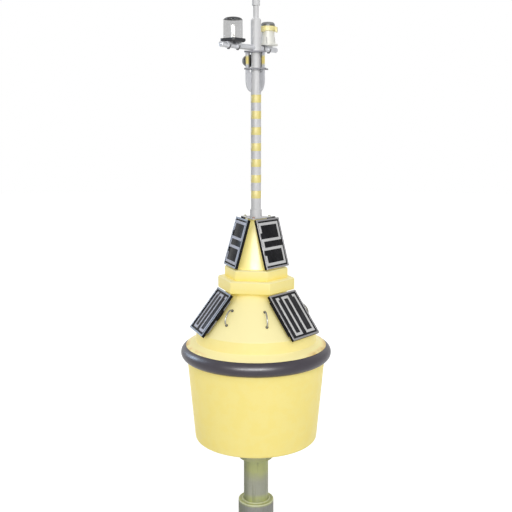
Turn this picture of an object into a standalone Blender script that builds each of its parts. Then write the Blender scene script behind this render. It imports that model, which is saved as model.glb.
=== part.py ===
"""Navigation buoy: a round tapered float with a tail tube, a cone-shaped tower with two
tiers of solar panels, and a tall mast that carries a lantern and an instrument.

Metres, +Z up. The origin is on the mast's axis at the waterline. Azimuth is counted
from -Y towards +X, so a piece built facing -Y is turned to its azimuth about Z.
"""
import itertools
import math

import bmesh
import bpy
from mathutils import Matrix, Vector

# Clearances
SEAT_GAP = 0.0003
CUT_OVERRUN = 0.02
MERGE_LIMIT = 0.00002

# Facets round each kind of turned piece, and along each kind of bend
LARGE_STEPS = 60
MEDIUM_STEPS = 28
SMALL_STEPS = 18
ROD_STEPS = 8
FILLET_STEPS = 3
BEND_STEPS = 8
CORNER_STEPS = 6
SMOOTH_ANGLE = math.radians(32)

# Float: a tapered drum, its bottom at the draft below the waterline
HULL_DRAFT = 0.5805
HULL_HEIGHT = 1.2205
HULL_BOTTOM_R = 0.777
HULL_TOP_R = 0.886
BILGE_R = 0.040

# Deck, step and lower cone, moulded as one cover on the float
COVER_EDGE = 0.010
DECK_RISE = 0.054
DECK_WIDTH = 0.120
STEP_HEIGHT = 0.142
STEP_DRAFT = 0.016
CONE_HEIGHT = 0.5137
CONE_TOP_R = 0.350
DECK_FILLET = 0.012
STEP_FILLET = 0.014

# Fender: part of an oval, seated on the float's side, its crown level with the deck's edge
FENDER_STAND = 0.0715
FENDER_HALF_WIDTH = 0.111
FENDER_HALF_HEIGHT = 0.096
FENDER_RISE = 0.0135

# Six-sided bands round the neck, given by how far their corners stand out
WIDE_HEX_LEDGE = 0.136
WIDE_HEX_HEIGHT = 0.1515
HEX_SETBACK = 0.086
NARROW_HEX_HEIGHT = 0.128
HEX_BEVEL = 0.014
HEX_SIDES = 6

# Upper cone: its foot inside the narrow band's flats, as tall as its panels need
TOWER_SETBACK = 0.0409
TOWER_TOP_R = 0.131
HIGH_PANEL_LIFT = 0.0045

# Solar panels: three in each tier, parallel to the cone that carries them
PANEL_AZIMUTHS = (60, 180, 300)
PANEL_CLEARANCE = 0.016
PANEL_HEIGHT = 0.616
LOW_PANEL_WIDTH = 0.520
HIGH_PANEL_WIDTH = 0.436
LOW_PANEL_DROP = 0.048
HIGH_PANEL_DROP = 0.013
FRAME_DEPTH = 0.037
FRAME_WALL = 0.024
FRAME_LEDGE = 0.012
GLASS_RECESS = 0.004
RAIL_WIDTH = 0.040
FOOT_WIDTH = 0.110
RAIL_SHARES = (0.22, 0.78)

# Serpentine busbars of four lines, upright in the low tier and across in the high one.
# The margins reach from the laminate's edges to the middles of the outer lines and of
# the lines' joined ends, and the whole strip is shifted to the panel's right.
BUSBAR_WIDTH = 0.033
BUSBAR_HEIGHT = 0.0015
LOW_LINE_MARGIN = 0.0615
LOW_END_MARGIN = 0.040
LOW_BUSBAR_SHIFT = 0.018
LOW_BUSBAR_SHARES = (0.0, 0.306, 0.612, 1.0)
LOW_STUB_SHARE = 0.13
HIGH_LINE_MARGIN = 0.0345
HIGH_END_MARGIN = 0.0258
HIGH_BUSBAR_SHIFT = -0.0065
HIGH_BUSBAR_SHARES = (0.0, 0.382, 0.60, 1.0)
HIGH_STUB_SHARE = 0.22

# Grab handles on the lower cone, two on each open side between the panels
HANDLE_AZIMUTHS = (-24.5, 21.5, 95.5, 141.5, 215.5, 261.5)
HANDLE_ROD_R = 0.009
HANDLE_SPAN = 0.198
HANDLE_REACH = 0.078
HANDLE_DROP = 0.352
HANDLE_FOOT_R = 0.017
HANDLE_FOOT_HEIGHT = 0.012

# Mast, its foot plate with a corner between each two panels, its sleeve and its bands
PLATE_AZIMUTHS = (0, 120, 240)
BASE_PLATE_REACH = 0.215
BASE_PLATE_CORNER_R = 0.050
BASE_PLATE_THICKNESS = 0.010
SLEEVE_HEIGHT = 0.1053
SLEEVE_WALL = 0.0129
MAST_R = 0.0613
MAST_WALL = 0.006
MAST_LENGTH = 2.3903
MAST_CHAMFER = 0.022
MAST_CHAMFER_IN = 0.0173
BAND_THICKNESS = 0.0012
BAND_COUNT = 7
BAND_START = 0.137
BAND_END_GAP = 0.0335
# How much of the distance from one band's foot to the next one's each band fills
BAND_FILL_SHARE = 0.487

# Guard cage, hung from the mast's top: two plates and three ribs that curve in below
CAGE_AZIMUTHS = (60, 180, 300)
CAGE_DROP = 0.399
CAGE_SPACING = 0.200
CAGE_PLATE_THICKNESS = 0.018
CAGE_PLATE_LIP = 0.0175
CAGE_CORNER_R = 0.036
CAGE_EAR_AZIMUTH = 120
CAGE_EAR_REACH = 0.157
CAGE_EAR_R = 0.013
RIB_STAND = 0.0207
RIB_DEPTH = 0.049
RIB_THICKNESS = 0.020
RIB_GAP_DROP = 0.0985
RIB_BEND_DROP = 0.121
RIB_BEND_HEIGHT = 0.1425
GUARD_SENSOR_AZIMUTH = 240
GUARD_SENSOR_R = 0.073
GUARD_SENSOR_DEPTH = 0.065
GUARD_SENSOR_ROUND = 0.005
GUARD_DOME_RISE = 0.072

# Crossarm through the mast just over the cage, and what it carries
ARM_AZIMUTH = -30
ARM_CLEARANCE = 0.0035
ARM_R = 0.0325
ARM_FILLET = 0.008
ARM_KNOB_R = 0.011
ARM_KNOB_LENGTH = 0.012
CLAMP_WIDTH = 0.084
STRAP_WIDTH = 0.020
CLAMP_WALL = 0.003
CLAMP_HALF_TOP = 0.030
CLAMP_LUG_R = 0.014
CLAMP_LUG_DROP = 0.014
CLAMP_LUG_LENGTH = 0.026

LANTERN_OUT = 0.418
LANTERN_ARM_TAIL = 0.232
LANTERN_SEAT = 0.003
LANTERN_RIM = 0.0025
LANTERN_BASE_CORNER = 0.045
LANTERN_BASE_THICKNESS = 0.040
LANTERN_BASE_BEVEL = 0.014
LANTERN_R = 0.114
LANTERN_WALL = 0.005
LANTERN_HEIGHT = 0.2135
LANTERN_SHOULDER = 0.012
CAP_SETBACK = 0.0085
CAP_RISE = 0.030
LAMP_R = 0.0255
LAMP_HEIGHT = 0.163
LAMP_TIP = 0.014
LANTERN_CLAMP_SPREAD = 0.162

SENSOR_MAST_GAP = 0.0692
SENSOR_ARM_TAIL = 0.160
SENSOR_SEAT = 0.008
SENSOR_BASE_HALF = 0.0975
SENSOR_BASE_CORNER = 0.040
SENSOR_BASE_THICKNESS = 0.024
SENSOR_BASE_BEVEL = 0.004
SENSOR_FOOT_R = 0.087
SENSOR_NECK_R = 0.0775
SENSOR_BODY_HEIGHT = 0.150
SENSOR_FIN_AZIMUTHS = (5, 95, 185, 275)
SENSOR_FIN_REACH = 0.098
SENSOR_FIN_HEIGHT = 0.080
SENSOR_FIN_THICKNESS = 0.014
SENSOR_RING_R = 0.099
SENSOR_RING_HEIGHT = 0.055
SENSOR_LUG_AZIMUTHS = (-30, 90, 210)
SENSOR_LUG_STAND = 0.017
SENSOR_LUG_WIDTH = 0.060
SENSOR_LUG_HANG = 0.014
SENSOR_DOME_R = 0.085
SENSOR_DOME_SHOULDER = 0.046
SENSOR_DOME_RISE = 0.0575
SENSOR_DOME_ROUND = 0.034
SENSOR_CLAMP_SHIFT = 0.011
SENSOR_STRAP_SHIFT = 0.103

# Antenna above the mast
NECK_R = 0.0335
NECK_HEIGHT = 0.146
ANTENNA_R = 0.0475
ANTENNA_HEIGHT = 0.360
ANTENNA_ROUND = 0.020
ANTENNA_FOOT_ROUND = 0.003

# Tail under the hull, with a wide boss at its head
TAIL_BOSS_R = 0.222
TAIL_BOSS_HEIGHT = 0.285
TAIL_R = 0.159
TAIL_WALL = 0.012
TAIL_LENGTH = 0.865
BALLAST_R = 0.2295
BALLAST_HEIGHT = 0.560
BALLAST_BEVEL = 0.012
SOCKET_WALL = 0.020
SOCKET_RISE = 0.012
EYE_THICKNESS = 0.045
EYE_HALF_WIDTH = 0.100
EYE_DROP = 0.090
EYE_HOLE_R = 0.042
EYE_ROUND_R = 0.085

# Radii and heights worked out from the sizes above, from the float up
HULL_BOTTOM_Z = -HULL_DRAFT
HULL_TOP_Z = HULL_HEIGHT - HULL_DRAFT
HULL_TAPER = (HULL_TOP_R - HULL_BOTTOM_R) / HULL_HEIGHT
FENDER_Z = HULL_TOP_Z + FENDER_RISE - FENDER_HALF_HEIGHT
COVER_Z = HULL_TOP_Z + SEAT_GAP
DECK_EDGE_Z = COVER_Z + COVER_EDGE
STEP_FOOT_R = HULL_TOP_R - DECK_WIDTH
STEP_FOOT_Z = DECK_EDGE_Z + DECK_RISE
STEP_TOP_R = STEP_FOOT_R - STEP_DRAFT
STEP_TOP_Z = STEP_FOOT_Z + STEP_HEIGHT
CONE_TOP_Z = STEP_TOP_Z + CONE_HEIGHT
CONE_LEAN = math.atan2(STEP_TOP_R - CONE_TOP_R, CONE_HEIGHT)
WIDE_HEX_R = CONE_TOP_R + WIDE_HEX_LEDGE
WIDE_HEX_Z = CONE_TOP_Z + SEAT_GAP
NARROW_HEX_R = WIDE_HEX_R - HEX_SETBACK
NARROW_HEX_Z = WIDE_HEX_Z + WIDE_HEX_HEIGHT + SEAT_GAP
TOWER_FOOT_R = NARROW_HEX_R * math.cos(math.pi / HEX_SIDES) - TOWER_SETBACK
TOWER_Z = NARROW_HEX_Z + NARROW_HEX_HEIGHT + SEAT_GAP
TOWER_SLANT = HIGH_PANEL_DROP + PANEL_HEIGHT + HIGH_PANEL_LIFT
TOWER_LEAN = math.asin((TOWER_FOOT_R - TOWER_TOP_R) / TOWER_SLANT)
TOWER_TOP_Z = TOWER_Z + TOWER_SLANT * math.cos(TOWER_LEAN)
PANEL_STANDOFF = FRAME_DEPTH + PANEL_CLEARANCE

# The mast and what it carries
MAST_FOOT_Z = TOWER_TOP_Z + SEAT_GAP
MAST_BORE = MAST_R + SEAT_GAP
SLEEVE_TOP_Z = MAST_FOOT_Z + SLEEVE_HEIGHT
BAND_FIRST_Z = SLEEVE_TOP_Z + BAND_START
MAST_TOP_Z = MAST_FOOT_Z + MAST_LENGTH
CAGE_HIGH_Z = MAST_TOP_Z - CAGE_DROP
CAGE_LOW_Z = CAGE_HIGH_Z - CAGE_SPACING
RIB_INNER = MAST_R + RIB_STAND
RIB_OUTER = RIB_INNER + RIB_DEPTH
RIB_GAP_Z = CAGE_LOW_Z - RIB_GAP_DROP
RIB_BEND_Z = CAGE_LOW_Z - RIB_BEND_DROP
RIB_FOOT_Z = RIB_BEND_Z - RIB_BEND_HEIGHT
BAND_RUN = RIB_FOOT_Z - BAND_END_GAP - BAND_FIRST_Z
BAND_PITCH = BAND_RUN / (BAND_COUNT - 1 + BAND_FILL_SHARE)
BAND_HEIGHT = BAND_FILL_SHARE * BAND_PITCH
CAGE_PLATE_REACH = RIB_OUTER + CAGE_PLATE_LIP
ARM_Z = CAGE_HIGH_Z + CAGE_PLATE_THICKNESS + ARM_CLEARANCE + ARM_R
ARM_LONG = LANTERN_OUT + LANTERN_ARM_TAIL
SENSOR_OUT = MAST_R + SENSOR_MAST_GAP + SENSOR_BASE_HALF
ARM_SHORT = SENSOR_OUT + SENSOR_ARM_TAIL
LANTERN_Z = ARM_Z + ARM_R + LANTERN_SEAT + SEAT_GAP
SENSOR_Z = ARM_Z + ARM_R + SENSOR_SEAT + SEAT_GAP

# The tail, from the float down
TAIL_TOP_Z = HULL_BOTTOM_Z - SEAT_GAP
TAIL_BOTTOM_Z = TAIL_TOP_Z - TAIL_LENGTH
BALLAST_TOP_Z = TAIL_BOTTOM_Z - SEAT_GAP
BALLAST_BOTTOM_Z = BALLAST_TOP_Z - BALLAST_HEIGHT
EYE_TOP_Z = BALLAST_BOTTOM_Z - SEAT_GAP

# Colour, roughness and metallic value of each material
LOOKS = {
    "hull_yellow": ((0.93, 0.78, 0.25), 0.42, 0.0),
    "fender_rubber": ((0.085, 0.070, 0.090), 0.35, 0.0),
    "mast_grey": ((0.62, 0.63, 0.66), 0.40, 0.2),
    "band_yellow": ((0.93, 0.78, 0.25), 0.50, 0.0),
    "frame_metal": ((0.20, 0.21, 0.23), 0.35, 0.8),
    "panel_black": ((0.025, 0.025, 0.028), 0.18, 0.0),
    "busbar_silver": ((0.60, 0.60, 0.60), 0.35, 0.6),
    "handle_steel": ((0.45, 0.45, 0.43), 0.35, 0.8),
    "arm_grey": ((0.52, 0.53, 0.57), 0.40, 0.3),
    "dark_plastic": ((0.035, 0.037, 0.042), 0.40, 0.0),
    "lantern_glass": ((0.55, 0.55, 0.55), 0.08, 0.0),
    "lamp_white": ((0.92, 0.92, 0.88), 0.30, 0.0),
    "sensor_white": ((0.86, 0.86, 0.80), 0.45, 0.0),
    "sensor_ring": ((0.95, 0.80, 0.30), 0.45, 0.0),
    "dome_grey": ((0.20, 0.21, 0.22), 0.25, 0.0),
    "tail_steel": ((0.30, 0.31, 0.26), 0.55, 0.2),
    "cast_iron": ((0.33, 0.33, 0.30), 0.60, 0.2),
}


def clear_scene():
    for old in list(bpy.data.objects):
        bpy.data.objects.remove(old, do_unlink=True)


def look(name):
    """The named material, made once."""
    if name in bpy.data.materials:
        return bpy.data.materials[name]
    colour, roughness, metallic = LOOKS[name]
    material = bpy.data.materials.new(name)
    material.use_nodes = True
    shader = material.node_tree.nodes["Principled BSDF"]
    shader.inputs["Base Color"].default_value = (*colour, 1.0)
    shader.inputs["Roughness"].default_value = roughness
    shader.inputs["Metallic"].default_value = metallic
    material.diffuse_color = (*colour, 1.0)
    return material


def add_object(name, mesh, location=(0, 0, 0), rotation=(0, 0, 0)):
    body = bpy.data.objects.new(name, mesh)
    body.location = location
    body.rotation_euler = rotation
    bpy.context.scene.collection.objects.link(body)
    return body


def finish_mesh(name, bm, *looks):
    """A smooth-shaded mesh from the bmesh, with its faces turned outwards."""
    bmesh.ops.recalc_face_normals(bm, faces=bm.faces)
    mesh = bpy.data.meshes.new(name)
    bm.to_mesh(mesh)
    bm.free()
    for each in looks:
        mesh.materials.append(look(each))
    mesh.shade_smooth()
    mesh.set_sharp_from_angle(angle=SMOOTH_ANGLE)
    return mesh


def outwards(azimuth, out, up=0.0):
    """The point at a distance out from the mast's axis, towards the azimuth."""
    angle = math.radians(azimuth)
    return Vector((out * math.sin(angle), -out * math.cos(angle), up))


def upright(azimuth, lean=0.0):
    """Rotation that stands a flat piece up, its face towards the azimuth, leaned back."""
    return (math.pi / 2 - lean, 0, math.radians(azimuth))


def arc(centre, radius_x, radius_y, start, end, steps=BEND_STEPS):
    """Points on an ellipse from one angle to another, in degrees."""
    points = []
    for step in range(steps + 1):
        angle = math.radians(start + (end - start) * step / steps)
        points.append((centre[0] + radius_x * math.cos(angle),
                       centre[1] + radius_y * math.sin(angle)))
    return points


def rounded(corners, steps=FILLET_STEPS):
    """An outline from (x, y, fillet radius) corners; a radius of zero stays sharp."""
    points = []
    count = len(corners)
    for index, (x, y, radius) in enumerate(corners):
        here = Vector((x, y))
        if radius == 0:
            points.append((x, y))
            continue
        before = Vector(corners[index - 1][:2]) - here
        after = Vector(corners[(index + 1) % count][:2]) - here
        half = before.angle(after) / 2
        reach = radius / math.tan(half)
        start = here + before.normalized() * reach
        middle = here + (before.normalized() + after.normalized()).normalized() * (
            radius / math.sin(half))
        first = start - middle
        turn = (math.pi - 2 * half) * (1 if first.cross(-middle + here) > 0 else -1)
        for step in range(steps + 1):
            spoke = first.copy()
            spoke.rotate(Matrix.Rotation(turn * step / steps, 2))
            points.append(tuple(middle + spoke))
    return points


def corner_plate(azimuths, reach, corner_r, ear=None):
    """An outline with a rounded corner at each azimuth, and a round ear between two."""
    outline = []
    for azimuth in azimuths:
        corner = outwards(azimuth, reach - corner_r)
        heading = azimuth - 90
        half = 180 / len(azimuths)
        outline += arc((corner.x, corner.y), corner_r, corner_r, heading - half, heading + half)
        if ear and azimuth < ear[0] < azimuth + 2 * half:
            ear_azimuth, ear_reach, ear_r = ear
            side = (reach - corner_r) * math.cos(math.radians(half)) + corner_r
            heading = ear_azimuth - 90
            tip = outwards(ear_azimuth, ear_reach - ear_r)
            across = outwards(ear_azimuth + 90, ear_r)
            root = outwards(ear_azimuth, side)
            outline.append((root.x - across.x, root.y - across.y))
            outline += arc((tip.x, tip.y), ear_r, ear_r, heading - 90, heading + 90,
                           steps=CORNER_STEPS)
            outline.append((root.x + across.x, root.y + across.y))
    return outline


def lathe(name, profile, steps, *looks, start=0.0, closed=False):
    """Turn a profile of (radius, height) points round Z."""
    bm = bmesh.new()
    first = Matrix.Rotation(math.radians(start), 4, "Z")
    rim = [bm.verts.new(first @ Vector((0, -radius, height))) for radius, height in profile]
    edges = [bm.edges.new(pair) for pair in zip(rim, rim[1:])]
    if closed:
        edges.append(bm.edges.new((rim[-1], rim[0])))
    bmesh.ops.spin(bm, geom=rim + edges, cent=(0, 0, 0), axis=(0, 0, 1),
                   angle=2 * math.pi, steps=steps, use_duplicate=False)
    bmesh.ops.remove_doubles(bm, verts=bm.verts, dist=MERGE_LIMIT)
    return finish_mesh(name, bm, *looks)


def loft_outlines(name, sections, *looks):
    """A solid through outlines of as many points each, given as (outline, height)."""
    bm = bmesh.new()
    rings = [[bm.verts.new((x, y, height)) for x, y in outline] for outline, height in sections]
    for lower, upper in zip(rings, rings[1:]):
        for index in range(len(lower)):
            bm.faces.new((lower[index - 1], lower[index], upper[index], upper[index - 1]))
    bm.faces.new(rings[0])
    bm.faces.new(rings[-1])
    return finish_mesh(name, bm, *looks)


def extrude_outline(name, outline, low, high, *looks):
    """A prism over an outline in X and Y, between two heights."""
    return loft_outlines(name, [(outline, low), (outline, high)], *looks)


def cell_solid(name, cuts, filled, looks, look_of=None):
    """A solid made of the filled cells of a grid cut along X, Y and Z.

    cuts holds the three lists of cut places, filled(i, j, k) says whether a cell is
    solid, and look_of(i, j, k) gives the number of its material.
    """
    bm = bmesh.new()
    corners = {}
    counts = [len(line) - 1 for line in cuts]

    def corner(i, j, k):
        if (i, j, k) not in corners:
            corners[i, j, k] = bm.verts.new((cuts[0][i], cuts[1][j], cuts[2][k]))
        return corners[i, j, k]

    def solid(cell):
        inside = all(0 <= cell[axis] < counts[axis] for axis in range(3))
        return inside and filled(*cell)

    def add_side(cell, axis, side):
        base = list(cell)
        base[axis] += side
        u_axis, v_axis = [other for other in range(3) if other != axis]
        quad = []
        for du, dv in ((0, 0), (1, 0), (1, 1), (0, 1)):
            place = list(base)
            place[u_axis] += du
            place[v_axis] += dv
            quad.append(corner(*place))
        face = bm.faces.new(quad)
        face.material_index = look_of(*cell) if look_of else 0

    for cell in itertools.product(*(range(count) for count in counts)):
        if not filled(*cell):
            continue
        for axis in range(3):
            for side in (0, 1):
                beside = list(cell)
                beside[axis] += 1 if side else -1
                if not solid(beside):
                    add_side(cell, axis, side)
    return finish_mesh(name, bm, *looks)


def add_cutter(name, mesh, location=(0, 0, 0), rotation=(0, 0, 0)):
    """A guide that cuts or joins other pieces and is left out of the model itself."""
    cutter = add_object(name, mesh, location, rotation)
    cutter.hide_render = True
    cutter.display_type = "WIRE"
    return cutter


def combine(body, guide, operation):
    step = body.modifiers.new(operation.lower() + "_" + guide.name, "BOOLEAN")
    step.operation = operation
    step.solver = "EXACT"
    step.object = guide


def build_hull():
    profile = rounded([(0, HULL_BOTTOM_Z, 0), (HULL_BOTTOM_R, HULL_BOTTOM_Z, BILGE_R),
                       (HULL_TOP_R, HULL_TOP_Z, 0), (0, HULL_TOP_Z, 0)])
    add_object("hull_drum", lathe("hull_drum", profile, LARGE_STEPS, "hull_yellow"))


def build_cover():
    profile = rounded([(0, COVER_Z, 0), (HULL_TOP_R, COVER_Z, 0),
                       (HULL_TOP_R, DECK_EDGE_Z, COVER_EDGE / 2),
                       (STEP_FOOT_R, STEP_FOOT_Z, DECK_FILLET),
                       (STEP_TOP_R, STEP_TOP_Z, STEP_FILLET),
                       (CONE_TOP_R, CONE_TOP_Z, 0), (0, CONE_TOP_Z, 0)])
    add_object("deck_cover", lathe("deck_cover", profile, LARGE_STEPS, "hull_yellow"))


def build_fender():
    """An oval section, flat where it lies on the float's tapered side."""
    wall_r = HULL_TOP_R - HULL_TAPER * (HULL_TOP_Z - FENDER_Z) + SEAT_GAP
    middle_r = wall_r + FENDER_STAND - FENDER_HALF_WIDTH
    limit = math.degrees(math.acos((wall_r - middle_r) / FENDER_HALF_WIDTH))
    oval = arc((middle_r, FENDER_Z), FENDER_HALF_WIDTH, FENDER_HALF_HEIGHT, -limit, limit,
               steps=2 * CORNER_STEPS)
    for end in (0, -1):
        height = oval[end][1]
        oval[end] = (wall_r + HULL_TAPER * (height - FENDER_Z), height)
    mesh = lathe("fender_ring", oval, LARGE_STEPS, "fender_rubber", closed=True)
    add_object("fender_ring", mesh)


def build_hex_bands():
    bands = (
        ("collar_hex_wide", WIDE_HEX_R, WIDE_HEX_Z, WIDE_HEX_HEIGHT),
        ("collar_hex_narrow", NARROW_HEX_R, NARROW_HEX_Z, NARROW_HEX_HEIGHT),
    )
    for name, corner_r, low, height in bands:
        top = low + height
        profile = [(0, low), (corner_r - HEX_BEVEL / 2, low), (corner_r, low + HEX_BEVEL / 2),
                   (corner_r, top - HEX_BEVEL), (corner_r - HEX_BEVEL, top), (0, top)]
        mesh = lathe(name, profile, HEX_SIDES, "hull_yellow", start=180 / HEX_SIDES)
        add_object(name, mesh)


def build_tower():
    profile = [(0, TOWER_Z), (TOWER_FOOT_R, TOWER_Z), (TOWER_TOP_R, TOWER_TOP_Z),
               (0, TOWER_TOP_Z)]
    add_object("tower_cone", lathe("tower_cone", profile, LARGE_STEPS, "hull_yellow"))


def frame_mesh(name, width):
    """A tray frame with two rails behind the glass, and a foot on each rail's middle."""
    half_w = width / 2
    half_h = PANEL_HEIGHT / 2
    low_rail, high_rail = [(share - 0.5) * PANEL_HEIGHT for share in RAIL_SHARES]
    x_cuts = [-half_w, -half_w + FRAME_WALL, -FOOT_WIDTH / 2, FOOT_WIDTH / 2,
              half_w - FRAME_WALL, half_w]
    y_cuts = [-half_h, -half_h + FRAME_WALL,
              low_rail - RAIL_WIDTH / 2, low_rail + RAIL_WIDTH / 2,
              high_rail - RAIL_WIDTH / 2, high_rail + RAIL_WIDTH / 2,
              half_h - FRAME_WALL, half_h]
    z_cuts = [-PANEL_STANDOFF - CUT_OVERRUN, -FRAME_DEPTH, -FRAME_LEDGE, 0]
    foot_layer, rail_layer = 0, 1

    def filled(i, j, k):
        border = i in (0, 4) or j in (0, 6)
        rail = j in (2, 4)
        if k == foot_layer:
            return rail and i == 2
        if k == rail_layer:
            return border or rail
        return border

    return cell_solid(name, (x_cuts, y_cuts, z_cuts), filled, ("frame_metal",))


def strip_cuts(shares, run, shift):
    """Both edges of each strip whose middle lies at a share of the shifted run."""
    cuts = []
    for share in shares:
        middle = (share - 0.5) * run + shift
        cuts += [middle - BUSBAR_WIDTH / 2, middle + BUSBAR_WIDTH / 2]
    return cuts


def glass_mesh(name, width, lines_upright, busbar):
    """A laminate with a raised serpentine strip of four lines, upright or across.

    The strip joins its lines in turn at one end and at the other. Where the first and
    the last line are open, a short stub turns in from each of them.
    """
    wide = width - 2 * FRAME_WALL - 2 * SEAT_GAP
    high = PANEL_HEIGHT - 2 * FRAME_WALL - 2 * SEAT_GAP
    line_size, end_size = (wide, high) if lines_upright else (high, wide)
    shares, stub_share, line_margin, end_margin, shift = busbar
    line_run = line_size - 2 * line_margin
    end_run = end_size - 2 * end_margin
    line_shift, end_shift = (shift, 0) if lines_upright else (0, shift)
    line_cuts = strip_cuts(shares, line_run, line_shift)
    line_cuts.insert(2, line_cuts[1] + stub_share * line_run)
    line_cuts.insert(-2, line_cuts[-2] - stub_share * line_run)
    line_cuts = [-line_size / 2] + line_cuts + [line_size / 2]
    end_cuts = [-end_size / 2] + strip_cuts((0, 1), end_run, end_shift) + [end_size / 2]
    back = -FRAME_LEDGE + SEAT_GAP
    face = -GLASS_RECESS - BUSBAR_HEIGHT
    z_cuts = [back, face, -GLASS_RECESS]
    line_cells = (1, 4, 6, 9)
    stub_cells = (2, 8)
    joined_end, open_end = (1, 3) if lines_upright else (3, 1)

    def on_strip(line, end):
        if not (1 <= line <= 9 and 1 <= end <= 3):
            return False
        if line in line_cells:
            return True
        if line == 5:
            return end == open_end
        return end == joined_end or (end == open_end and line in stub_cells)

    def filled(i, j, k):
        return k == 0 or (on_strip(i, j) if lines_upright else on_strip(j, i))

    cuts = (line_cuts, end_cuts, z_cuts) if lines_upright else (end_cuts, line_cuts, z_cuts)
    return cell_solid(name, cuts, filled, ("panel_black", "busbar_silver"),
                      look_of=lambda i, j, k: k)


def build_panels():
    """Two tiers of three panels, their feet cut to the cone's surface."""
    low_busbar = (LOW_BUSBAR_SHARES, LOW_STUB_SHARE, LOW_LINE_MARGIN, LOW_END_MARGIN,
                  LOW_BUSBAR_SHIFT)
    high_busbar = (HIGH_BUSBAR_SHARES, HIGH_STUB_SHARE, HIGH_LINE_MARGIN, HIGH_END_MARGIN,
                   HIGH_BUSBAR_SHIFT)
    tiers = (
        ("low", LOW_PANEL_WIDTH, LOW_PANEL_DROP, True, low_busbar,
         STEP_TOP_R, STEP_TOP_Z, CONE_TOP_R, CONE_TOP_Z, CONE_LEAN),
        ("high", HIGH_PANEL_WIDTH, HIGH_PANEL_DROP, False, high_busbar,
         TOWER_FOOT_R, TOWER_Z, TOWER_TOP_R, TOWER_TOP_Z, TOWER_LEAN),
    )
    for (tier, width, drop, lines_upright, busbar,
         foot_r, foot_z, top_r, top_z, lean) in tiers:
        gap = SEAT_GAP / math.cos(lean)
        cone = lathe("cone_cutter_" + tier,
                     [(0, foot_z), (foot_r + gap, foot_z), (top_r + gap, top_z), (0, top_z)],
                     LARGE_STEPS, "hull_yellow")
        cutter = add_cutter("cone_cutter_" + tier, cone)
        middle_drop = drop + PANEL_HEIGHT / 2
        out = top_r + middle_drop * math.sin(lean) + PANEL_STANDOFF * math.cos(lean)
        up = top_z - middle_drop * math.cos(lean) + PANEL_STANDOFF * math.sin(lean)
        frame = frame_mesh("solar_frame_" + tier, width)
        glass = glass_mesh("solar_glass_" + tier, width, lines_upright, busbar)
        for number, azimuth in enumerate(PANEL_AZIMUTHS, start=1):
            place = outwards(azimuth, out, up)
            turn = upright(azimuth, lean)
            body = add_object(f"solar_frame_{tier}_{number}", frame, place, turn)
            combine(body, cutter, "DIFFERENCE")
            add_object(f"solar_glass_{tier}_{number}", glass, place, turn)


def bridge_rings(bm, lower, upper):
    count = len(lower)
    for step in range(count):
        beside = (step + 1) % count
        bm.faces.new((lower[step], lower[beside], upper[beside], upper[step]))


def rod_rings(bm, points, radius, side):
    """Rings of a round rod along the points; side is square to the whole line."""
    rings = []
    for index, point in enumerate(points):
        ahead = points[min(index + 1, len(points) - 1)] - points[max(index - 1, 0)]
        across = ahead.normalized().cross(side)
        ring = []
        for step in range(ROD_STEPS):
            angle = 2 * math.pi * step / ROD_STEPS
            spoke = side * math.cos(angle) + across * math.sin(angle)
            ring.append(bm.verts.new(point + radius * spoke))
        rings.append(ring)
    for lower, upper in zip(rings, rings[1:]):
        bridge_rings(bm, lower, upper)
    return rings


def build_handles():
    """A bent rod with a round foot at each end, in its own frame: Y up the cone, Z out."""
    bm = bmesh.new()
    bow = arc((0, HANDLE_FOOT_HEIGHT), HANDLE_SPAN / 2, HANDLE_REACH - HANDLE_FOOT_HEIGHT,
              0, 180, steps=BEND_STEPS + 2)
    rings = rod_rings(bm, [Vector((0, y, z)) for y, z in bow], HANDLE_ROD_R, Vector((1, 0, 0)))
    for ring, foot_y in ((rings[0], HANDLE_SPAN / 2), (rings[-1], -HANDLE_SPAN / 2)):
        lower = ring
        for height in (HANDLE_FOOT_HEIGHT, 0):
            foot = []
            for vertex in ring:
                spoke = Vector((vertex.co.x, vertex.co.y - foot_y, 0)).normalized()
                foot.append(bm.verts.new(Vector((0, foot_y, height)) + spoke * HANDLE_FOOT_R))
            bridge_rings(bm, lower, foot)
            lower = foot
        bm.faces.new(lower)
    mesh = finish_mesh("handle", bm, "handle_steel")
    out = CONE_TOP_R + HANDLE_DROP * math.sin(CONE_LEAN) + SEAT_GAP * math.cos(CONE_LEAN)
    up = CONE_TOP_Z - HANDLE_DROP * math.cos(CONE_LEAN) + SEAT_GAP * math.sin(CONE_LEAN)
    for number, azimuth in enumerate(HANDLE_AZIMUTHS, start=1):
        add_object(f"handle_{number}", mesh, outwards(azimuth, out, up),
                   upright(azimuth, CONE_LEAN))


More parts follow.
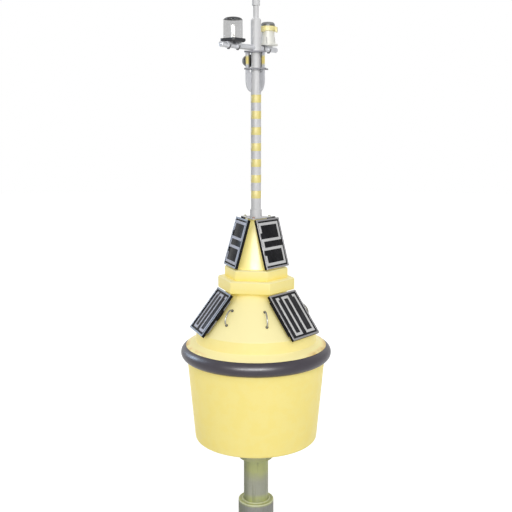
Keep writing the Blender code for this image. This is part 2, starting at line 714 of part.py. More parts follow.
def build_mast(arm_cutter):
    outline = corner_plate(PLATE_AZIMUTHS, BASE_PLATE_REACH, BASE_PLATE_CORNER_R)
    plate_mesh = extrude_outline("mast_base_plate", outline, 0, BASE_PLATE_THICKNESS, "mast_grey")
    plate = add_object("mast_base_plate", plate_mesh, (0, 0, MAST_FOOT_Z))
    sleeve_r = MAST_BORE + SLEEVE_WALL
    hole_r = sleeve_r + SEAT_GAP
    hole_top = BASE_PLATE_THICKNESS + CUT_OVERRUN
    hole = lathe("sleeve_cutter", [(0, -CUT_OVERRUN), (hole_r, -CUT_OVERRUN), (hole_r, hole_top),
                                   (0, hole_top)], MEDIUM_STEPS, "mast_grey")
    combine(plate, add_cutter("sleeve_cutter", hole, (0, 0, MAST_FOOT_Z)), "DIFFERENCE")

    sleeve = lathe("mast_sleeve",
                   [(MAST_BORE, MAST_FOOT_Z), (sleeve_r, MAST_FOOT_Z),
                    (sleeve_r, SLEEVE_TOP_Z), (MAST_BORE, SLEEVE_TOP_Z)],
                   MEDIUM_STEPS, "mast_grey", closed=True)
    add_object("mast_sleeve", sleeve)

    inner = MAST_R - MAST_WALL
    roof = MAST_TOP_Z - MAST_WALL
    mast = lathe("mast_tube",
                 [(0, roof), (inner, roof - MAST_CHAMFER), (inner, MAST_FOOT_Z),
                  (MAST_R, MAST_FOOT_Z), (MAST_R, MAST_TOP_Z - MAST_CHAMFER),
                  (MAST_R - MAST_CHAMFER_IN, MAST_TOP_Z), (0, MAST_TOP_Z)],
                 MEDIUM_STEPS, "mast_grey")
    combine(add_object("mast_tube", mast), arm_cutter, "DIFFERENCE")

    skin_r = MAST_BORE + BAND_THICKNESS
    band = lathe("mast_band", [(MAST_BORE, 0), (skin_r, 0), (skin_r, BAND_HEIGHT),
                               (MAST_BORE, BAND_HEIGHT)],
                 MEDIUM_STEPS, "band_yellow", closed=True)
    for number in range(BAND_COUNT):
        add_object(f"mast_band_{number + 1}", band, (0, 0, BAND_FIRST_Z + number * BAND_PITCH))


def build_cage():
    """Two three-cornered plates, and three ribs that curve in to the mast under them."""
    mast_cutter = add_cutter("mast_cutter", lathe(
        "mast_cutter",
        [(0, RIB_FOOT_Z), (MAST_BORE, RIB_FOOT_Z), (MAST_BORE, MAST_TOP_Z), (0, MAST_TOP_Z)],
        MEDIUM_STEPS, "mast_grey"))
    ear = (CAGE_EAR_AZIMUTH, CAGE_EAR_REACH, CAGE_EAR_R)
    plates = []
    for name, height, each_ear in (("cage_plate_low", CAGE_LOW_Z, ear),
                                   ("cage_plate_high", CAGE_HIGH_Z, None)):
        outline = corner_plate(CAGE_AZIMUTHS, CAGE_PLATE_REACH, CAGE_CORNER_R, each_ear)
        mesh = extrude_outline(name, outline, 0, CAGE_PLATE_THICKNESS, "mast_grey")
        plates.append(add_object(name, mesh, (0, 0, height)))
        combine(plates[-1], mast_cutter, "DIFFERENCE")

    rib_top = CAGE_HIGH_Z - SEAT_GAP
    curve = arc((MAST_BORE, RIB_BEND_Z), RIB_OUTER - MAST_BORE, RIB_BEND_HEIGHT, 0, -90)
    inner_bend = RIB_GAP_Z + RIB_INNER - MAST_BORE
    outline = [(RIB_OUTER, rib_top)] + curve + [(MAST_BORE, RIB_GAP_Z), (RIB_INNER, inner_bend),
                                                (RIB_INNER, rib_top)]
    rib = extrude_outline("cage_rib", outline, -RIB_THICKNESS / 2, RIB_THICKNESS / 2, "mast_grey")
    inner_slot = RIB_INNER - SEAT_GAP
    outer_slot = RIB_OUTER + SEAT_GAP
    slot = [(inner_slot, RIB_GAP_Z), (outer_slot, RIB_GAP_Z),
            (outer_slot, CAGE_HIGH_Z), (inner_slot, CAGE_HIGH_Z)]
    half_slot = RIB_THICKNESS / 2 + SEAT_GAP
    slot_mesh = extrude_outline("rib_slot_cutter", slot, -half_slot, half_slot, "mast_grey")
    for number, azimuth in enumerate(CAGE_AZIMUTHS, start=1):
        turn = upright(azimuth - 90)
        add_object(f"cage_rib_{number}", rib, (0, 0, 0), turn)
        slot_cutter = add_cutter(f"rib_slot_cutter_{number}", slot_mesh, (0, 0, 0), turn)
        combine(plates[0], slot_cutter, "DIFFERENCE")


def build_guard_sensor():
    """A round housing on the mast's side between the cage's plates, with a domed front."""
    middle = (CAGE_LOW_Z + CAGE_PLATE_THICKNESS + CAGE_HIGH_Z) / 2
    body = lathe("guard_sensor_body",
                 rounded([(0, 0, 0), (GUARD_SENSOR_R, 0, 0),
                          (GUARD_SENSOR_R, GUARD_SENSOR_DEPTH, GUARD_SENSOR_ROUND),
                          (0, GUARD_SENSOR_DEPTH, 0)]), SMALL_STEPS, "dark_plastic")
    turn = upright(GUARD_SENSOR_AZIMUTH)
    add_object("guard_sensor_body", body, outwards(GUARD_SENSOR_AZIMUTH, MAST_BORE, middle), turn)
    dome_r = GUARD_SENSOR_R - GUARD_SENSOR_ROUND
    dome = lathe("guard_sensor_dome",
                 [(0, 0)] + arc((0, 0), dome_r, GUARD_DOME_RISE, 0, 90, steps=CORNER_STEPS),
                 SMALL_STEPS, "dome_grey")
    front = MAST_BORE + GUARD_SENSOR_DEPTH + SEAT_GAP
    add_object("guard_sensor_dome", dome, outwards(GUARD_SENSOR_AZIMUTH, front, middle), turn)


def build_arm():
    """The crossarm, and the cutter that makes room for it in what it passes through."""
    turn = upright(ARM_AZIMUTH)
    long_end = ARM_LONG - ARM_KNOB_LENGTH
    arm = lathe("crossarm",
                rounded([(0, -ARM_SHORT, 0), (ARM_R, -ARM_SHORT, ARM_FILLET),
                         (ARM_R, long_end, ARM_FILLET), (ARM_KNOB_R, long_end, 0),
                         (ARM_KNOB_R, ARM_LONG, ARM_KNOB_R / 3), (0, ARM_LONG, 0)]),
                SMALL_STEPS, "arm_grey")
    add_object("crossarm", arm, (0, 0, ARM_Z), turn)
    bore = ARM_R + SEAT_GAP
    cutter = lathe("arm_cutter",
                   [(0, -ARM_SHORT), (bore, -ARM_SHORT), (bore, ARM_LONG), (0, ARM_LONG)],
                   SMALL_STEPS, "arm_grey")
    return add_cutter("arm_cutter", cutter, (0, 0, ARM_Z), turn)


def build_clamps(arm_cutter):
    """Saddles round the arm with a flat seat above, and a round lug under the wide ones."""
    outer = ARM_R + CLAMP_WALL
    lug_z = -outer - CLAMP_LUG_DROP + CLAMP_LUG_R
    lug = [(CLAMP_LUG_R, 0), (-CLAMP_LUG_R, 0)]
    lug += arc((0, lug_z), CLAMP_LUG_R, CLAMP_LUG_R, 180, 360, steps=CORNER_STEPS)
    lug_mesh = extrude_outline("clamp_lug", lug, -CLAMP_LUG_LENGTH / 2, CLAMP_LUG_LENGTH / 2,
                               "arm_grey")
    # Distance out along the arm, the seat's height over it, and the saddle's width
    places = ((LANTERN_OUT + LANTERN_CLAMP_SPREAD / 2, LANTERN_SEAT, CLAMP_WIDTH),
              (LANTERN_OUT - LANTERN_CLAMP_SPREAD / 2, LANTERN_SEAT, CLAMP_WIDTH),
              (-SENSOR_OUT - SENSOR_CLAMP_SHIFT, SENSOR_SEAT, CLAMP_WIDTH),
              (-SENSOR_OUT + SENSOR_STRAP_SHIFT, SENSOR_SEAT, STRAP_WIDTH))
    turn = upright(ARM_AZIMUTH)
    for number, (out, seat, width) in enumerate(places, start=1):
        name = f"arm_clamp_{number}"
        top = ARM_R + seat
        outline = [(CLAMP_HALF_TOP, top), (-CLAMP_HALF_TOP, top)]
        outline += arc((0, 0), outer, outer, 180, 360, steps=2 * CORNER_STEPS)
        mesh = extrude_outline(name, outline, -width / 2, width / 2, "arm_grey")
        place = outwards(ARM_AZIMUTH, out, ARM_Z)
        clamp = add_object(name, mesh, place, turn)
        if width == CLAMP_WIDTH:
            combine(clamp, add_cutter(f"clamp_lug_{number}", lug_mesh, place, turn), "UNION")
        combine(clamp, arm_cutter, "DIFFERENCE")


def rounded_square(half, corner_r):
    return rounded([(half, half, corner_r), (-half, half, corner_r),
                    (-half, -half, corner_r), (half, -half, corner_r)], steps=CORNER_STEPS)


def build_lantern():
    """A bevelled base plate, a clear lens that is hollow and open below, a lamp and a cap."""
    half = LANTERN_R + LANTERN_RIM
    bevel = LANTERN_BASE_BEVEL
    full = rounded_square(half, LANTERN_BASE_CORNER)
    small = rounded_square(half - bevel, LANTERN_BASE_CORNER - bevel / 2)
    base = loft_outlines("lantern_base", [(small, 0), (full, bevel),
                                          (full, LANTERN_BASE_THICKNESS)], "dark_plastic")
    add_object("lantern_base", base, outwards(ARM_AZIMUTH, LANTERN_OUT, LANTERN_Z),
               (0, 0, math.radians(ARM_AZIMUTH)))

    inner = LANTERN_R - LANTERN_WALL
    roof = LANTERN_HEIGHT - LANTERN_WALL
    skin = rounded([(LANTERN_R, 0, 0), (LANTERN_R, LANTERN_HEIGHT, LANTERN_SHOULDER),
                    (0, LANTERN_HEIGHT, 0), (0, 0, 0)])[:-1]
    profile = [(0, roof), (inner - LANTERN_SHOULDER, roof), (inner, roof - LANTERN_SHOULDER),
               (inner, 0)] + skin
    glass_z = LANTERN_Z + LANTERN_BASE_THICKNESS + SEAT_GAP
    glass = lathe("lantern_glass", profile, MEDIUM_STEPS, "lantern_glass")
    add_object("lantern_glass", glass, outwards(ARM_AZIMUTH, LANTERN_OUT, glass_z))

    lamp = lathe("lantern_lamp",
                 [(0, 0), (LAMP_R, 0), (LAMP_R, LAMP_HEIGHT - LAMP_TIP),
                  (LAMP_R / 2, LAMP_HEIGHT - LAMP_TIP / 4), (0, LAMP_HEIGHT)],
                 SMALL_STEPS, "lamp_white")
    add_object("lantern_lamp", lamp, outwards(ARM_AZIMUTH, LANTERN_OUT, glass_z))

    cap = lathe("lantern_cap",
                [(0, 0)] + arc((0, 0), LANTERN_R - CAP_SETBACK, CAP_RISE, 0, 90,
                               steps=CORNER_STEPS),
                MEDIUM_STEPS, "dark_plastic")
    cap_z = glass_z + LANTERN_HEIGHT + SEAT_GAP
    add_object("lantern_cap", cap, outwards(ARM_AZIMUTH, LANTERN_OUT, cap_z))


def build_sensor():
    """A housing on a square base with four fins, a ring with three lugs, and a dome."""
    base_top = SENSOR_BASE_THICKNESS
    body_top = base_top + SENSOR_BODY_HEIGHT
    bevel = SENSOR_BASE_BEVEL
    full = rounded_square(SENSOR_BASE_HALF, SENSOR_BASE_CORNER)
    small = rounded_square(SENSOR_BASE_HALF - bevel, SENSOR_BASE_CORNER - bevel)
    base = loft_outlines("sensor_body", [(small, 0), (full, bevel), (full, base_top - bevel),
                                         (small, base_top)], "sensor_white")
    place = outwards(ARM_AZIMUTH, -SENSOR_OUT, SENSOR_Z)
    housing = add_object("sensor_body", base, place, (0, 0, math.radians(ARM_AZIMUTH)))
    foot = base_top / 2
    drum = lathe("sensor_drum", [(0, foot), (SENSOR_FOOT_R, foot), (SENSOR_FOOT_R, base_top),
                                 (SENSOR_NECK_R, body_top), (0, body_top)],
                 MEDIUM_STEPS, "sensor_white")
    combine(housing, add_cutter("sensor_drum", drum, place), "UNION")
    fin = [(0, foot), (SENSOR_FIN_REACH, foot), (SENSOR_FIN_REACH, base_top),
           (SENSOR_NECK_R, base_top + SENSOR_FIN_HEIGHT), (0, base_top + SENSOR_FIN_HEIGHT)]
    fin_mesh = extrude_outline("sensor_fin", fin, -SENSOR_FIN_THICKNESS / 2,
                               SENSOR_FIN_THICKNESS / 2, "sensor_white")
    for azimuth in SENSOR_FIN_AZIMUTHS:
        guide = add_cutter(f"sensor_fin_{azimuth}", fin_mesh, place, upright(azimuth - 90))
        combine(housing, guide, "UNION")

    ring_place = place + Vector((0, 0, body_top + SEAT_GAP))
    ring = lathe("sensor_ring", [(0, 0), (SENSOR_RING_R, 0), (SENSOR_RING_R, SENSOR_RING_HEIGHT),
                                 (0, SENSOR_RING_HEIGHT)], MEDIUM_STEPS, "sensor_ring")
    ring_body = add_object("sensor_ring", ring, ring_place)
    reach = SENSOR_RING_R + SENSOR_LUG_STAND
    inner = (SENSOR_FOOT_R + SENSOR_RING_R) / 2
    lug = [(inner, -SENSOR_LUG_HANG), (reach, -SENSOR_LUG_HANG),
           (reach, SENSOR_RING_HEIGHT - SENSOR_LUG_HANG / 2),
           (inner, SENSOR_RING_HEIGHT - SENSOR_LUG_HANG / 2)]
    lug_mesh = extrude_outline("sensor_lug", lug, -SENSOR_LUG_WIDTH / 2, SENSOR_LUG_WIDTH / 2,
                               "sensor_ring")
    for azimuth in SENSOR_LUG_AZIMUTHS:
        guide = add_cutter(f"sensor_lug_{azimuth}", lug_mesh, ring_place, upright(azimuth - 90))
        combine(ring_body, guide, "UNION")

    dome = lathe("sensor_dome",
                 rounded([(0, 0, 0), (SENSOR_DOME_R, 0, 0),
                          (SENSOR_DOME_R, SENSOR_DOME_SHOULDER, SENSOR_DOME_ROUND),
                          (0, SENSOR_DOME_RISE, 0)], steps=CORNER_STEPS),
                 MEDIUM_STEPS, "dome_grey")
    add_object("sensor_dome", dome,
               ring_place + Vector((0, 0, SENSOR_RING_HEIGHT + SEAT_GAP)))


def build_antenna():
    neck_z = MAST_TOP_Z + SEAT_GAP
    neck_top = neck_z + NECK_HEIGHT
    neck = lathe("antenna_neck", [(0, neck_z), (NECK_R, neck_z), (NECK_R, neck_top),
                                  (0, neck_top)], SMALL_STEPS, "mast_grey")
    add_object("antenna_neck", neck)
    low = neck_top + SEAT_GAP
    top = low + ANTENNA_HEIGHT
    body = lathe("antenna_body",
                 rounded([(0, low, 0), (ANTENNA_R, low, ANTENNA_FOOT_ROUND),
                          (ANTENNA_R, top, ANTENNA_ROUND), (0, top, 0)]),
                 SMALL_STEPS, "mast_grey")
    add_object("antenna_body", body)


def build_tail():
    """The tail tube with its boss, and the ballast with a socket round the tube's end."""
    boss_low = TAIL_TOP_Z - TAIL_BOSS_HEIGHT
    inner = TAIL_R - TAIL_WALL
    tube = lathe("tail_tube",
                 [(0, TAIL_TOP_Z), (TAIL_BOSS_R, TAIL_TOP_Z), (TAIL_BOSS_R, boss_low),
                  (TAIL_R, boss_low), (TAIL_R, TAIL_BOTTOM_Z), (inner, TAIL_BOTTOM_Z),
                  (inner, boss_low), (0, boss_low)], MEDIUM_STEPS, "tail_steel")
    add_object("tail_tube", tube)
    socket_in = TAIL_R + SEAT_GAP
    socket_out = socket_in + SOCKET_WALL
    rim = BALLAST_TOP_Z + SOCKET_RISE
    ballast = lathe("ballast_weight",
                    rounded([(0, BALLAST_BOTTOM_Z, 0), (BALLAST_R, BALLAST_BOTTOM_Z, BALLAST_BEVEL),
                             (BALLAST_R, BALLAST_TOP_Z, BALLAST_BEVEL),
                             (socket_out, BALLAST_TOP_Z, 0), (socket_out, rim, 0),
                             (socket_in, rim, 0), (socket_in, BALLAST_TOP_Z, 0),
                             (0, BALLAST_TOP_Z, 0)], steps=2), MEDIUM_STEPS, "cast_iron")
    add_object("ballast_weight", ballast)

    outline = [(EYE_HALF_WIDTH, 0)]
    outline += arc((0, -EYE_DROP), EYE_ROUND_R, EYE_ROUND_R, 0, -180, steps=2 * CORNER_STEPS)
    outline += [(-EYE_HALF_WIDTH, 0)]
    eye = extrude_outline("mooring_eye", outline, -EYE_THICKNESS / 2, EYE_THICKNESS / 2,
                          "cast_iron")
    lug = add_object("mooring_eye", eye, (0, 0, EYE_TOP_Z), upright(0))
    hole = lathe("eye_cutter",
                 [(0, -EYE_THICKNESS), (EYE_HOLE_R, -EYE_THICKNESS), (EYE_HOLE_R, EYE_THICKNESS),
                  (0, EYE_THICKNESS)], SMALL_STEPS, "cast_iron")
    combine(lug, add_cutter("eye_cutter", hole, (0, 0, EYE_TOP_Z - EYE_DROP), upright(0)),
            "DIFFERENCE")


def main():
    clear_scene()
    build_hull()
    build_cover()
    build_fender()
    build_hex_bands()
    build_tower()
    build_panels()
    build_handles()
    arm_cutter = build_arm()
    build_mast(arm_cutter)
    build_cage()
    build_guard_sensor()
    build_clamps(arm_cutter)
    build_lantern()
    build_sensor()
    build_antenna()
    build_tail()


main()
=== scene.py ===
import math

import bmesh
import bpy
from mathutils import Euler, Matrix, Vector


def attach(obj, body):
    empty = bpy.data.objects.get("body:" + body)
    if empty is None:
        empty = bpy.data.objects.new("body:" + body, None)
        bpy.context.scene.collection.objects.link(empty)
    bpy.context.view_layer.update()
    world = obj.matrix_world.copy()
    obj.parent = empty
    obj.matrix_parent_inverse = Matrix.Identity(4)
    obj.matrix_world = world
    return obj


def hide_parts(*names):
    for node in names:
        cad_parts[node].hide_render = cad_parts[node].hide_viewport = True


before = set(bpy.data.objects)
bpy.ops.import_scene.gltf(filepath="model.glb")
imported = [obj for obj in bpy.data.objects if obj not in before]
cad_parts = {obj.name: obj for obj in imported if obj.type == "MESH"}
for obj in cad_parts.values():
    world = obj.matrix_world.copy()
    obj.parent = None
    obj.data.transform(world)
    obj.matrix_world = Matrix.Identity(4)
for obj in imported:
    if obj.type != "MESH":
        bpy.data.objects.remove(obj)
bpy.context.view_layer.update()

# Metres, +Z up, the mast's axis at X = Y = 0 and the waterline at Z = 0.
# Azimuth is counted from -Y towards +X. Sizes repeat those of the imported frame.
SEAT = 0.0003
ROUND_STEPS, MID_STEPS, FINE_STEPS = 160, 72, 40
SMOOTH = math.radians(34)

# Float, cover, fender and upper cone
HULL_BOTTOM_Z, HULL_TOP_Z = -0.5805, 0.640
HULL_BOTTOM_R, HULL_TOP_R, BILGE_R = 0.777, 0.886, 0.040
HULL_TAPER = (HULL_TOP_R - HULL_BOTTOM_R) / (HULL_TOP_Z - HULL_BOTTOM_Z)
DECK_EDGE_Z, STEP_FOOT_Z, STEP_TOP_Z, CONE_TOP_Z = 0.6503, 0.7043, 0.8463, 1.360
STEP_FOOT_R, STEP_TOP_R, CONE_TOP_R = 0.766, 0.750, 0.350
FENDER_Z, FENDER_HALF_WIDTH, FENDER_HALF_HEIGHT, FENDER_STAND = 0.5575, 0.111, 0.096, 0.0715
TOWER_FOOT_R, TOWER_TOP_R, TOWER_Z, TOWER_TOP_Z = 0.30551, 0.131, 1.6404, 2.24939
# Each cone: foot radius, foot height, top radius, top height, lean
LOWER_CONE = (STEP_TOP_R, STEP_TOP_Z, CONE_TOP_R, CONE_TOP_Z, 0.6616)
UPPER_CONE = (TOWER_FOOT_R, TOWER_Z, TOWER_TOP_R, TOWER_TOP_Z, 0.27908)
# Each band: piece, node, corner radius, foot, height
HEX_BANDS = (("hex_band_wide", "collar_hex_wide", 0.486, 1.3603, 0.1515),
             ("hex_band_narrow", "collar_hex_narrow", 0.400, 1.5121, 0.128))
HEX_CHAMFER = 0.014

# Panels; depths are counted from the frame's front, backwards negative
# The panels on the camera's left take darker, bluish copies of the frame's and the busbar's metal: painted
# shade with a painted bluish reflection.
PANEL_AZIMUTHS, SHADED_AZIMUTH = (60, 180, 300), 300
PANEL_HEIGHT, PANEL_STANDOFF, FRAME_DEPTH, FRAME_WALL, TRAY_WALL = 0.616, 0.053, 0.037, 0.024, 0.004
GLASS_FACE, GLASS_BACK, BACK_FACE, BACK_REAR, LEDGE = -0.0055, -0.0117, -0.0122, -0.0135, -0.012
STRIP_HEIGHT, STRIP_WIDTH, FINGER_PITCH = 0.0015, 0.033, 0.0026
RAIL_SHARES, RAIL_WIDTH, SEAT_WIDTH, SEAT_STEPS = (0.22, 0.78), 0.040, 0.110, 8
# The frame's section: inset from the panel's edge, depth, material index
TRAY_SECTION = ((0.0, -FRAME_DEPTH, 1), (0.0, -0.0015, 0), (0.0015, 0.0, 0), (0.0215, 0.0, 0),
                (0.0222, -0.0015, 1), (0.0232, -0.0020, 1), (FRAME_WALL, -0.0030, 1),
                (FRAME_WALL, LEDGE, 1), (TRAY_WALL, LEDGE, 1), (TRAY_WALL, -FRAME_DEPTH, 1))
# Each tier: name, width, drop from the cone's top, laminate, cone and serpentine. The serpentine:
# whether its lines stand upright, inner lines' and stubs' shares of its run, margins of lines and ends, shift
TIERS = (("low", 0.520, 0.048, "panel_black_lit", LOWER_CONE,
          (True, (0.306, 0.612), 0.13, 0.0615, 0.040, 0.018)),
         ("high", 0.436, 0.013, "panel_black", UPPER_CONE,
          (False, (0.382, 0.600), 0.22, 0.0345, 0.0258, -0.0065)))
SIDE_RAIL_LOW, SIDE_RAIL_HIGH = -0.38 * PANEL_HEIGHT, 0.39 * PANEL_HEIGHT
SIDE_RAIL_WIDTH, SIDE_RAIL_DEPTH = 0.024, 0.018
BOX_LOW, BOX_MIDDLE, BOX_HALF = (share * PANEL_HEIGHT for share in (-0.09, 0.045, 0.130))
BOX_INSET, BOX_OUT, BOX_FACE = 0.012, 0.032, -0.014

# Handles
HANDLE_AZIMUTHS = (-24.5, 21.5, 95.5, 141.5, 215.5, 261.5)
HANDLE_SPAN, HANDLE_REACH, HANDLE_DROP, ROD_R, ROD_END = 0.198, 0.078, 0.352, 0.009, 0.004
FOOT_R, FOOT_HEIGHT, FOOT_CROWN, FOOT_NECK_R = 0.017, 0.012, 0.004, 0.010

# Mast and cage
MAST_FOOT_Z, MAST_TOP_Z, MAST_R, MAST_BORE = 2.24969, 4.63999, 0.0613, 0.0616
MAST_CROWN, MAST_CROWN_INSET = 0.022, 0.0173
PLATE_THICKNESS, PLATE_REACH, PLATE_CORNER_R = 0.010, 0.215, 0.050
BOLTS = ((0, "bolt_rust"), (120, "bolt_steel"), (240, "bolt_steel"))
BOLT_OUT, BOLT_R, BOLT_HEIGHT = 0.178, 0.017, 0.018
SLEEVE_TOP_Z, SLEEVE_R = 2.35499, 0.0745
BAND_FIRST_Z, BAND_PITCH, BAND_HEIGHT, BAND_R, BAND_COUNT = 2.49199, 0.193, 0.094, 0.0628, 7
CAGE_LOW_Z, CAGE_HIGH_Z, CAGE_PLATE, CAGE_REACH, CAGE_CORNER_R = 4.04099, 4.24099, 0.018, 0.1485, 0.036
CAGE_MIDDLE_Z = (CAGE_LOW_Z + CAGE_PLATE + CAGE_HIGH_Z) / 2
CAGE_EAR = (120, 0.157, 0.013)
RIB_INNER, RIB_OUTER, RIB_THICKNESS = 0.082, 0.131, 0.020
RIB_GAP_Z, RIB_BEND_Z, RIB_FOOT_Z = 3.99500, 3.91999, 3.77749
GUARD_AZIMUTH, GUARD_BODY_R, GUARD_BODY_LENGTH = 240, 0.073, 0.065
GUARD_DOME_R, GUARD_DOME_LENGTH = 0.068, 0.072

# Crossarm, lantern, sensor and antenna
ARM_AZIMUTH, ARM_Z, ARM_R, ARM_LONG, ARM_SHORT = -30, 4.29499, 0.0325, 0.650, 0.388
ARM_PLUG_R, ARM_PLUG_LENGTH = 0.011, 0.012
LANTERN_OUT, LANTERN_Z, LANTERN_R, LANTERN_HEIGHT, LANTERN_WALL = 0.418, 4.33079, 0.114, 0.2135, 0.005
LANTERN_BASE, LANTERN_BASE_HALF, LANTERN_BEVEL, LANTERN_CORNER = 0.040, LANTERN_R + 0.0025, 0.014, 0.045
LID_R, LID_HEIGHT = LANTERN_R - 0.0085, 0.030
LAMP_R, LAMP_GROOVE_R, LAMP_HEIGHT, LAMP_CROWN = 0.0255, 0.0240, 0.163, 0.014
GROOVE_FIRST, GROOVE_PITCH, GROOVE_STEP, GROOVE_COUNT = 0.012, 0.015, 0.002, 9
SENSOR_OUT, SENSOR_Z, SENSOR_FOOT, SENSOR_FOOT_HALF, SENSOR_CORNER = 0.228, 4.33579, 0.024, 0.0975, 0.040
SENSOR_TOP, SENSOR_LOW_R, SENSOR_HIGH_R, SENSOR_CHAMFER, SENSOR_SUNK = 0.174, 0.087, 0.0775, 0.004, 0.012
FIN_AZIMUTHS, FIN_INNER, FIN_REACH, FIN_HEIGHT, FIN_HALF = (5, 95, 185, 275), 0.060, 0.098, 0.080, 0.007
# Each of the sensor's fins has a strip of painted shade beside it: its turn off the fin, half thickness, low
# and high (out, up) points
FIN_SHADE_TURN, FIN_SHADE_HALF, FIN_SHADE_LOW, FIN_SHADE_HIGH = 6.5, 0.0025, (0.0882, 0.030), (0.0842, 0.100)
RING_R, RING_HEIGHT, LUG_AZIMUTHS, LUG_HALF = 0.099, 0.055, (-30, 90, 210), 0.030
LUG_INNER, LUG_OUTER, LUG_LOW, LUG_HIGH = 0.093, 0.116, -0.014, 0.048
WINDOW_R, WINDOW_EDGE, WINDOW_HEIGHT = 0.085, 0.046, 0.0575
NECK_R, NECK_HEIGHT, AERIAL_R, AERIAL_HEIGHT = 0.0335, 0.146, 0.0475, 0.360
# Each clamp: distance out, its flat seat's stand above the arm, width, whether it has a lug and a dark band
# of painted shade; one without is painted all in shade
CLAMPS = ((LANTERN_OUT + 0.081, 0.003, 0.084, True), (LANTERN_OUT - 0.081, 0.003, 0.084, True),
          (-SENSOR_OUT - 0.011, 0.008, 0.084, True), (-SENSOR_OUT + 0.103, 0.008, 0.020, False))
CLAMP_R, CLAMP_SEAT_HALF, SHOE_R, SHOE_NECK, SHOE_HALF = 0.0355, 0.030, 0.014, -0.025, 0.013
# The clamps' band of painted shade: how far it stands off the clamp, and half its width
SHADE_BAND_STAND, SHADE_BAND_HALF = 0.0010, 0.011

# Tail
TAIL_TOP_Z, TAIL_BOTTOM_Z, TAIL_R, TAIL_BOSS_R, TAIL_BOSS = -0.5808, -1.4458, 0.159, 0.222, 0.285
BALLAST_TOP_Z, BALLAST_BOTTOM_Z, BALLAST_R = -1.4461, -2.0061, 0.2295
# Radii of two pale rings on the ballast's top: painted highlights on the socket's rim and on the ballast's
# rounded edge
SOCKET_WALL, SOCKET_HEIGHT, PAINTED_HIGHLIGHT_RINGS = 0.020, 0.012, (0.178, 0.226)
EYE_TOP_Z, EYE_ROOT_HALF, EYE_DROP, EYE_R, EYE_BORE_R, EYE_HALF = -2.0064, 0.100, 0.090, 0.085, 0.042, 0.0225

# Stage, light and camera; azimuths of cards and lamps are counted from the camera's
FLOOR_Z, FLOOR_R, WORLD_LEVEL = -2.184, 60.0, 0.75
CAMERA_PITCH, CAMERA_AZIMUTH, CAMERA_DISTANCE = math.radians(9.15), 9.56, 10.0
CAMERA_AIM_Z, CAMERA_LENS, CAMERA_SENSOR = 1.7675, 56.25, 36.0
LAMP_AIM_Z = 1.2
# Each lamp: name, azimuth, distance, height, (width, height), power, colour, whether diffuse rays see it
LAMPS = (("key", 8, 9.0, 6.8, (5.0, 5.0), 260, (1, 1, 1), True),
         ("front_sheen", -4, 9.0, 4.2, (7.6, 3.0), 1550, (1, 1, 1), False),
         ("side_sheen", -114, 8.0, 4.1, (3.0, 3.0), 330, (0.62, 0.78, 1.0), False))
# Each dark card: name, azimuth, distance, width, height of its lower and of its upper edge
CARDS = (("flag_left", -95, 0.9, 2.4, 2.3, 4.9), ("flag_right", 100, 1.9, 2.4, 2.3, 4.9),
         ("tail_flag_left", -95, 1.7, 2.6, -1.75, -0.80), ("tail_flag_right", 95, 1.9, 2.6, -1.75, -0.80))


# Materials

MATERIALS = {}


class Tree:
    """A node tree that is built up one value at a time."""

    def __init__(self, owner):
        owner.use_nodes = True
        self.nodes, self.links = owner.node_tree.nodes, owner.node_tree.links

    def put(self, socket, value):
        if isinstance(value, bpy.types.NodeSocket):
            self.links.new(value, socket)
        elif isinstance(value, tuple) and len(value) == 3 and socket.type == "RGBA":
            socket.default_value = (*value, 1.0)
        else:
            socket.default_value = value

    def add(self, kind, output, inputs, **settings):
        """A new node with its inputs set or linked; returns the socket of one output."""
        node = self.nodes.new("ShaderNode" + kind)
        for key, value in settings.items():
            setattr(node, key, value)
        for key, value in inputs.items():
            self.put(node.inputs[key], value)
        return node.outputs[output]

    def calc(self, operation, first, second=0.0):
        return self.add("Math", "Value", {0: first, 1: second}, operation=operation)

    def times(self, first, second):
        return self.calc("MULTIPLY", first, second)

    def seen(self):
        """1 for camera, glossy and transmission rays, 0 for the rest."""
        ray = self.nodes.new("ShaderNodeLightPath").outputs
        bent = self.calc("MAXIMUM", ray["Is Glossy Ray"], ray["Is Transmission Ray"])
        return self.calc("MAXIMUM", ray["Is Camera Ray"], bent)

    def show(self, kind, shader):
        """Ends the tree in its output node."""
        self.put(self.nodes.new("ShaderNodeOutput" + kind).inputs["Surface"], shader)


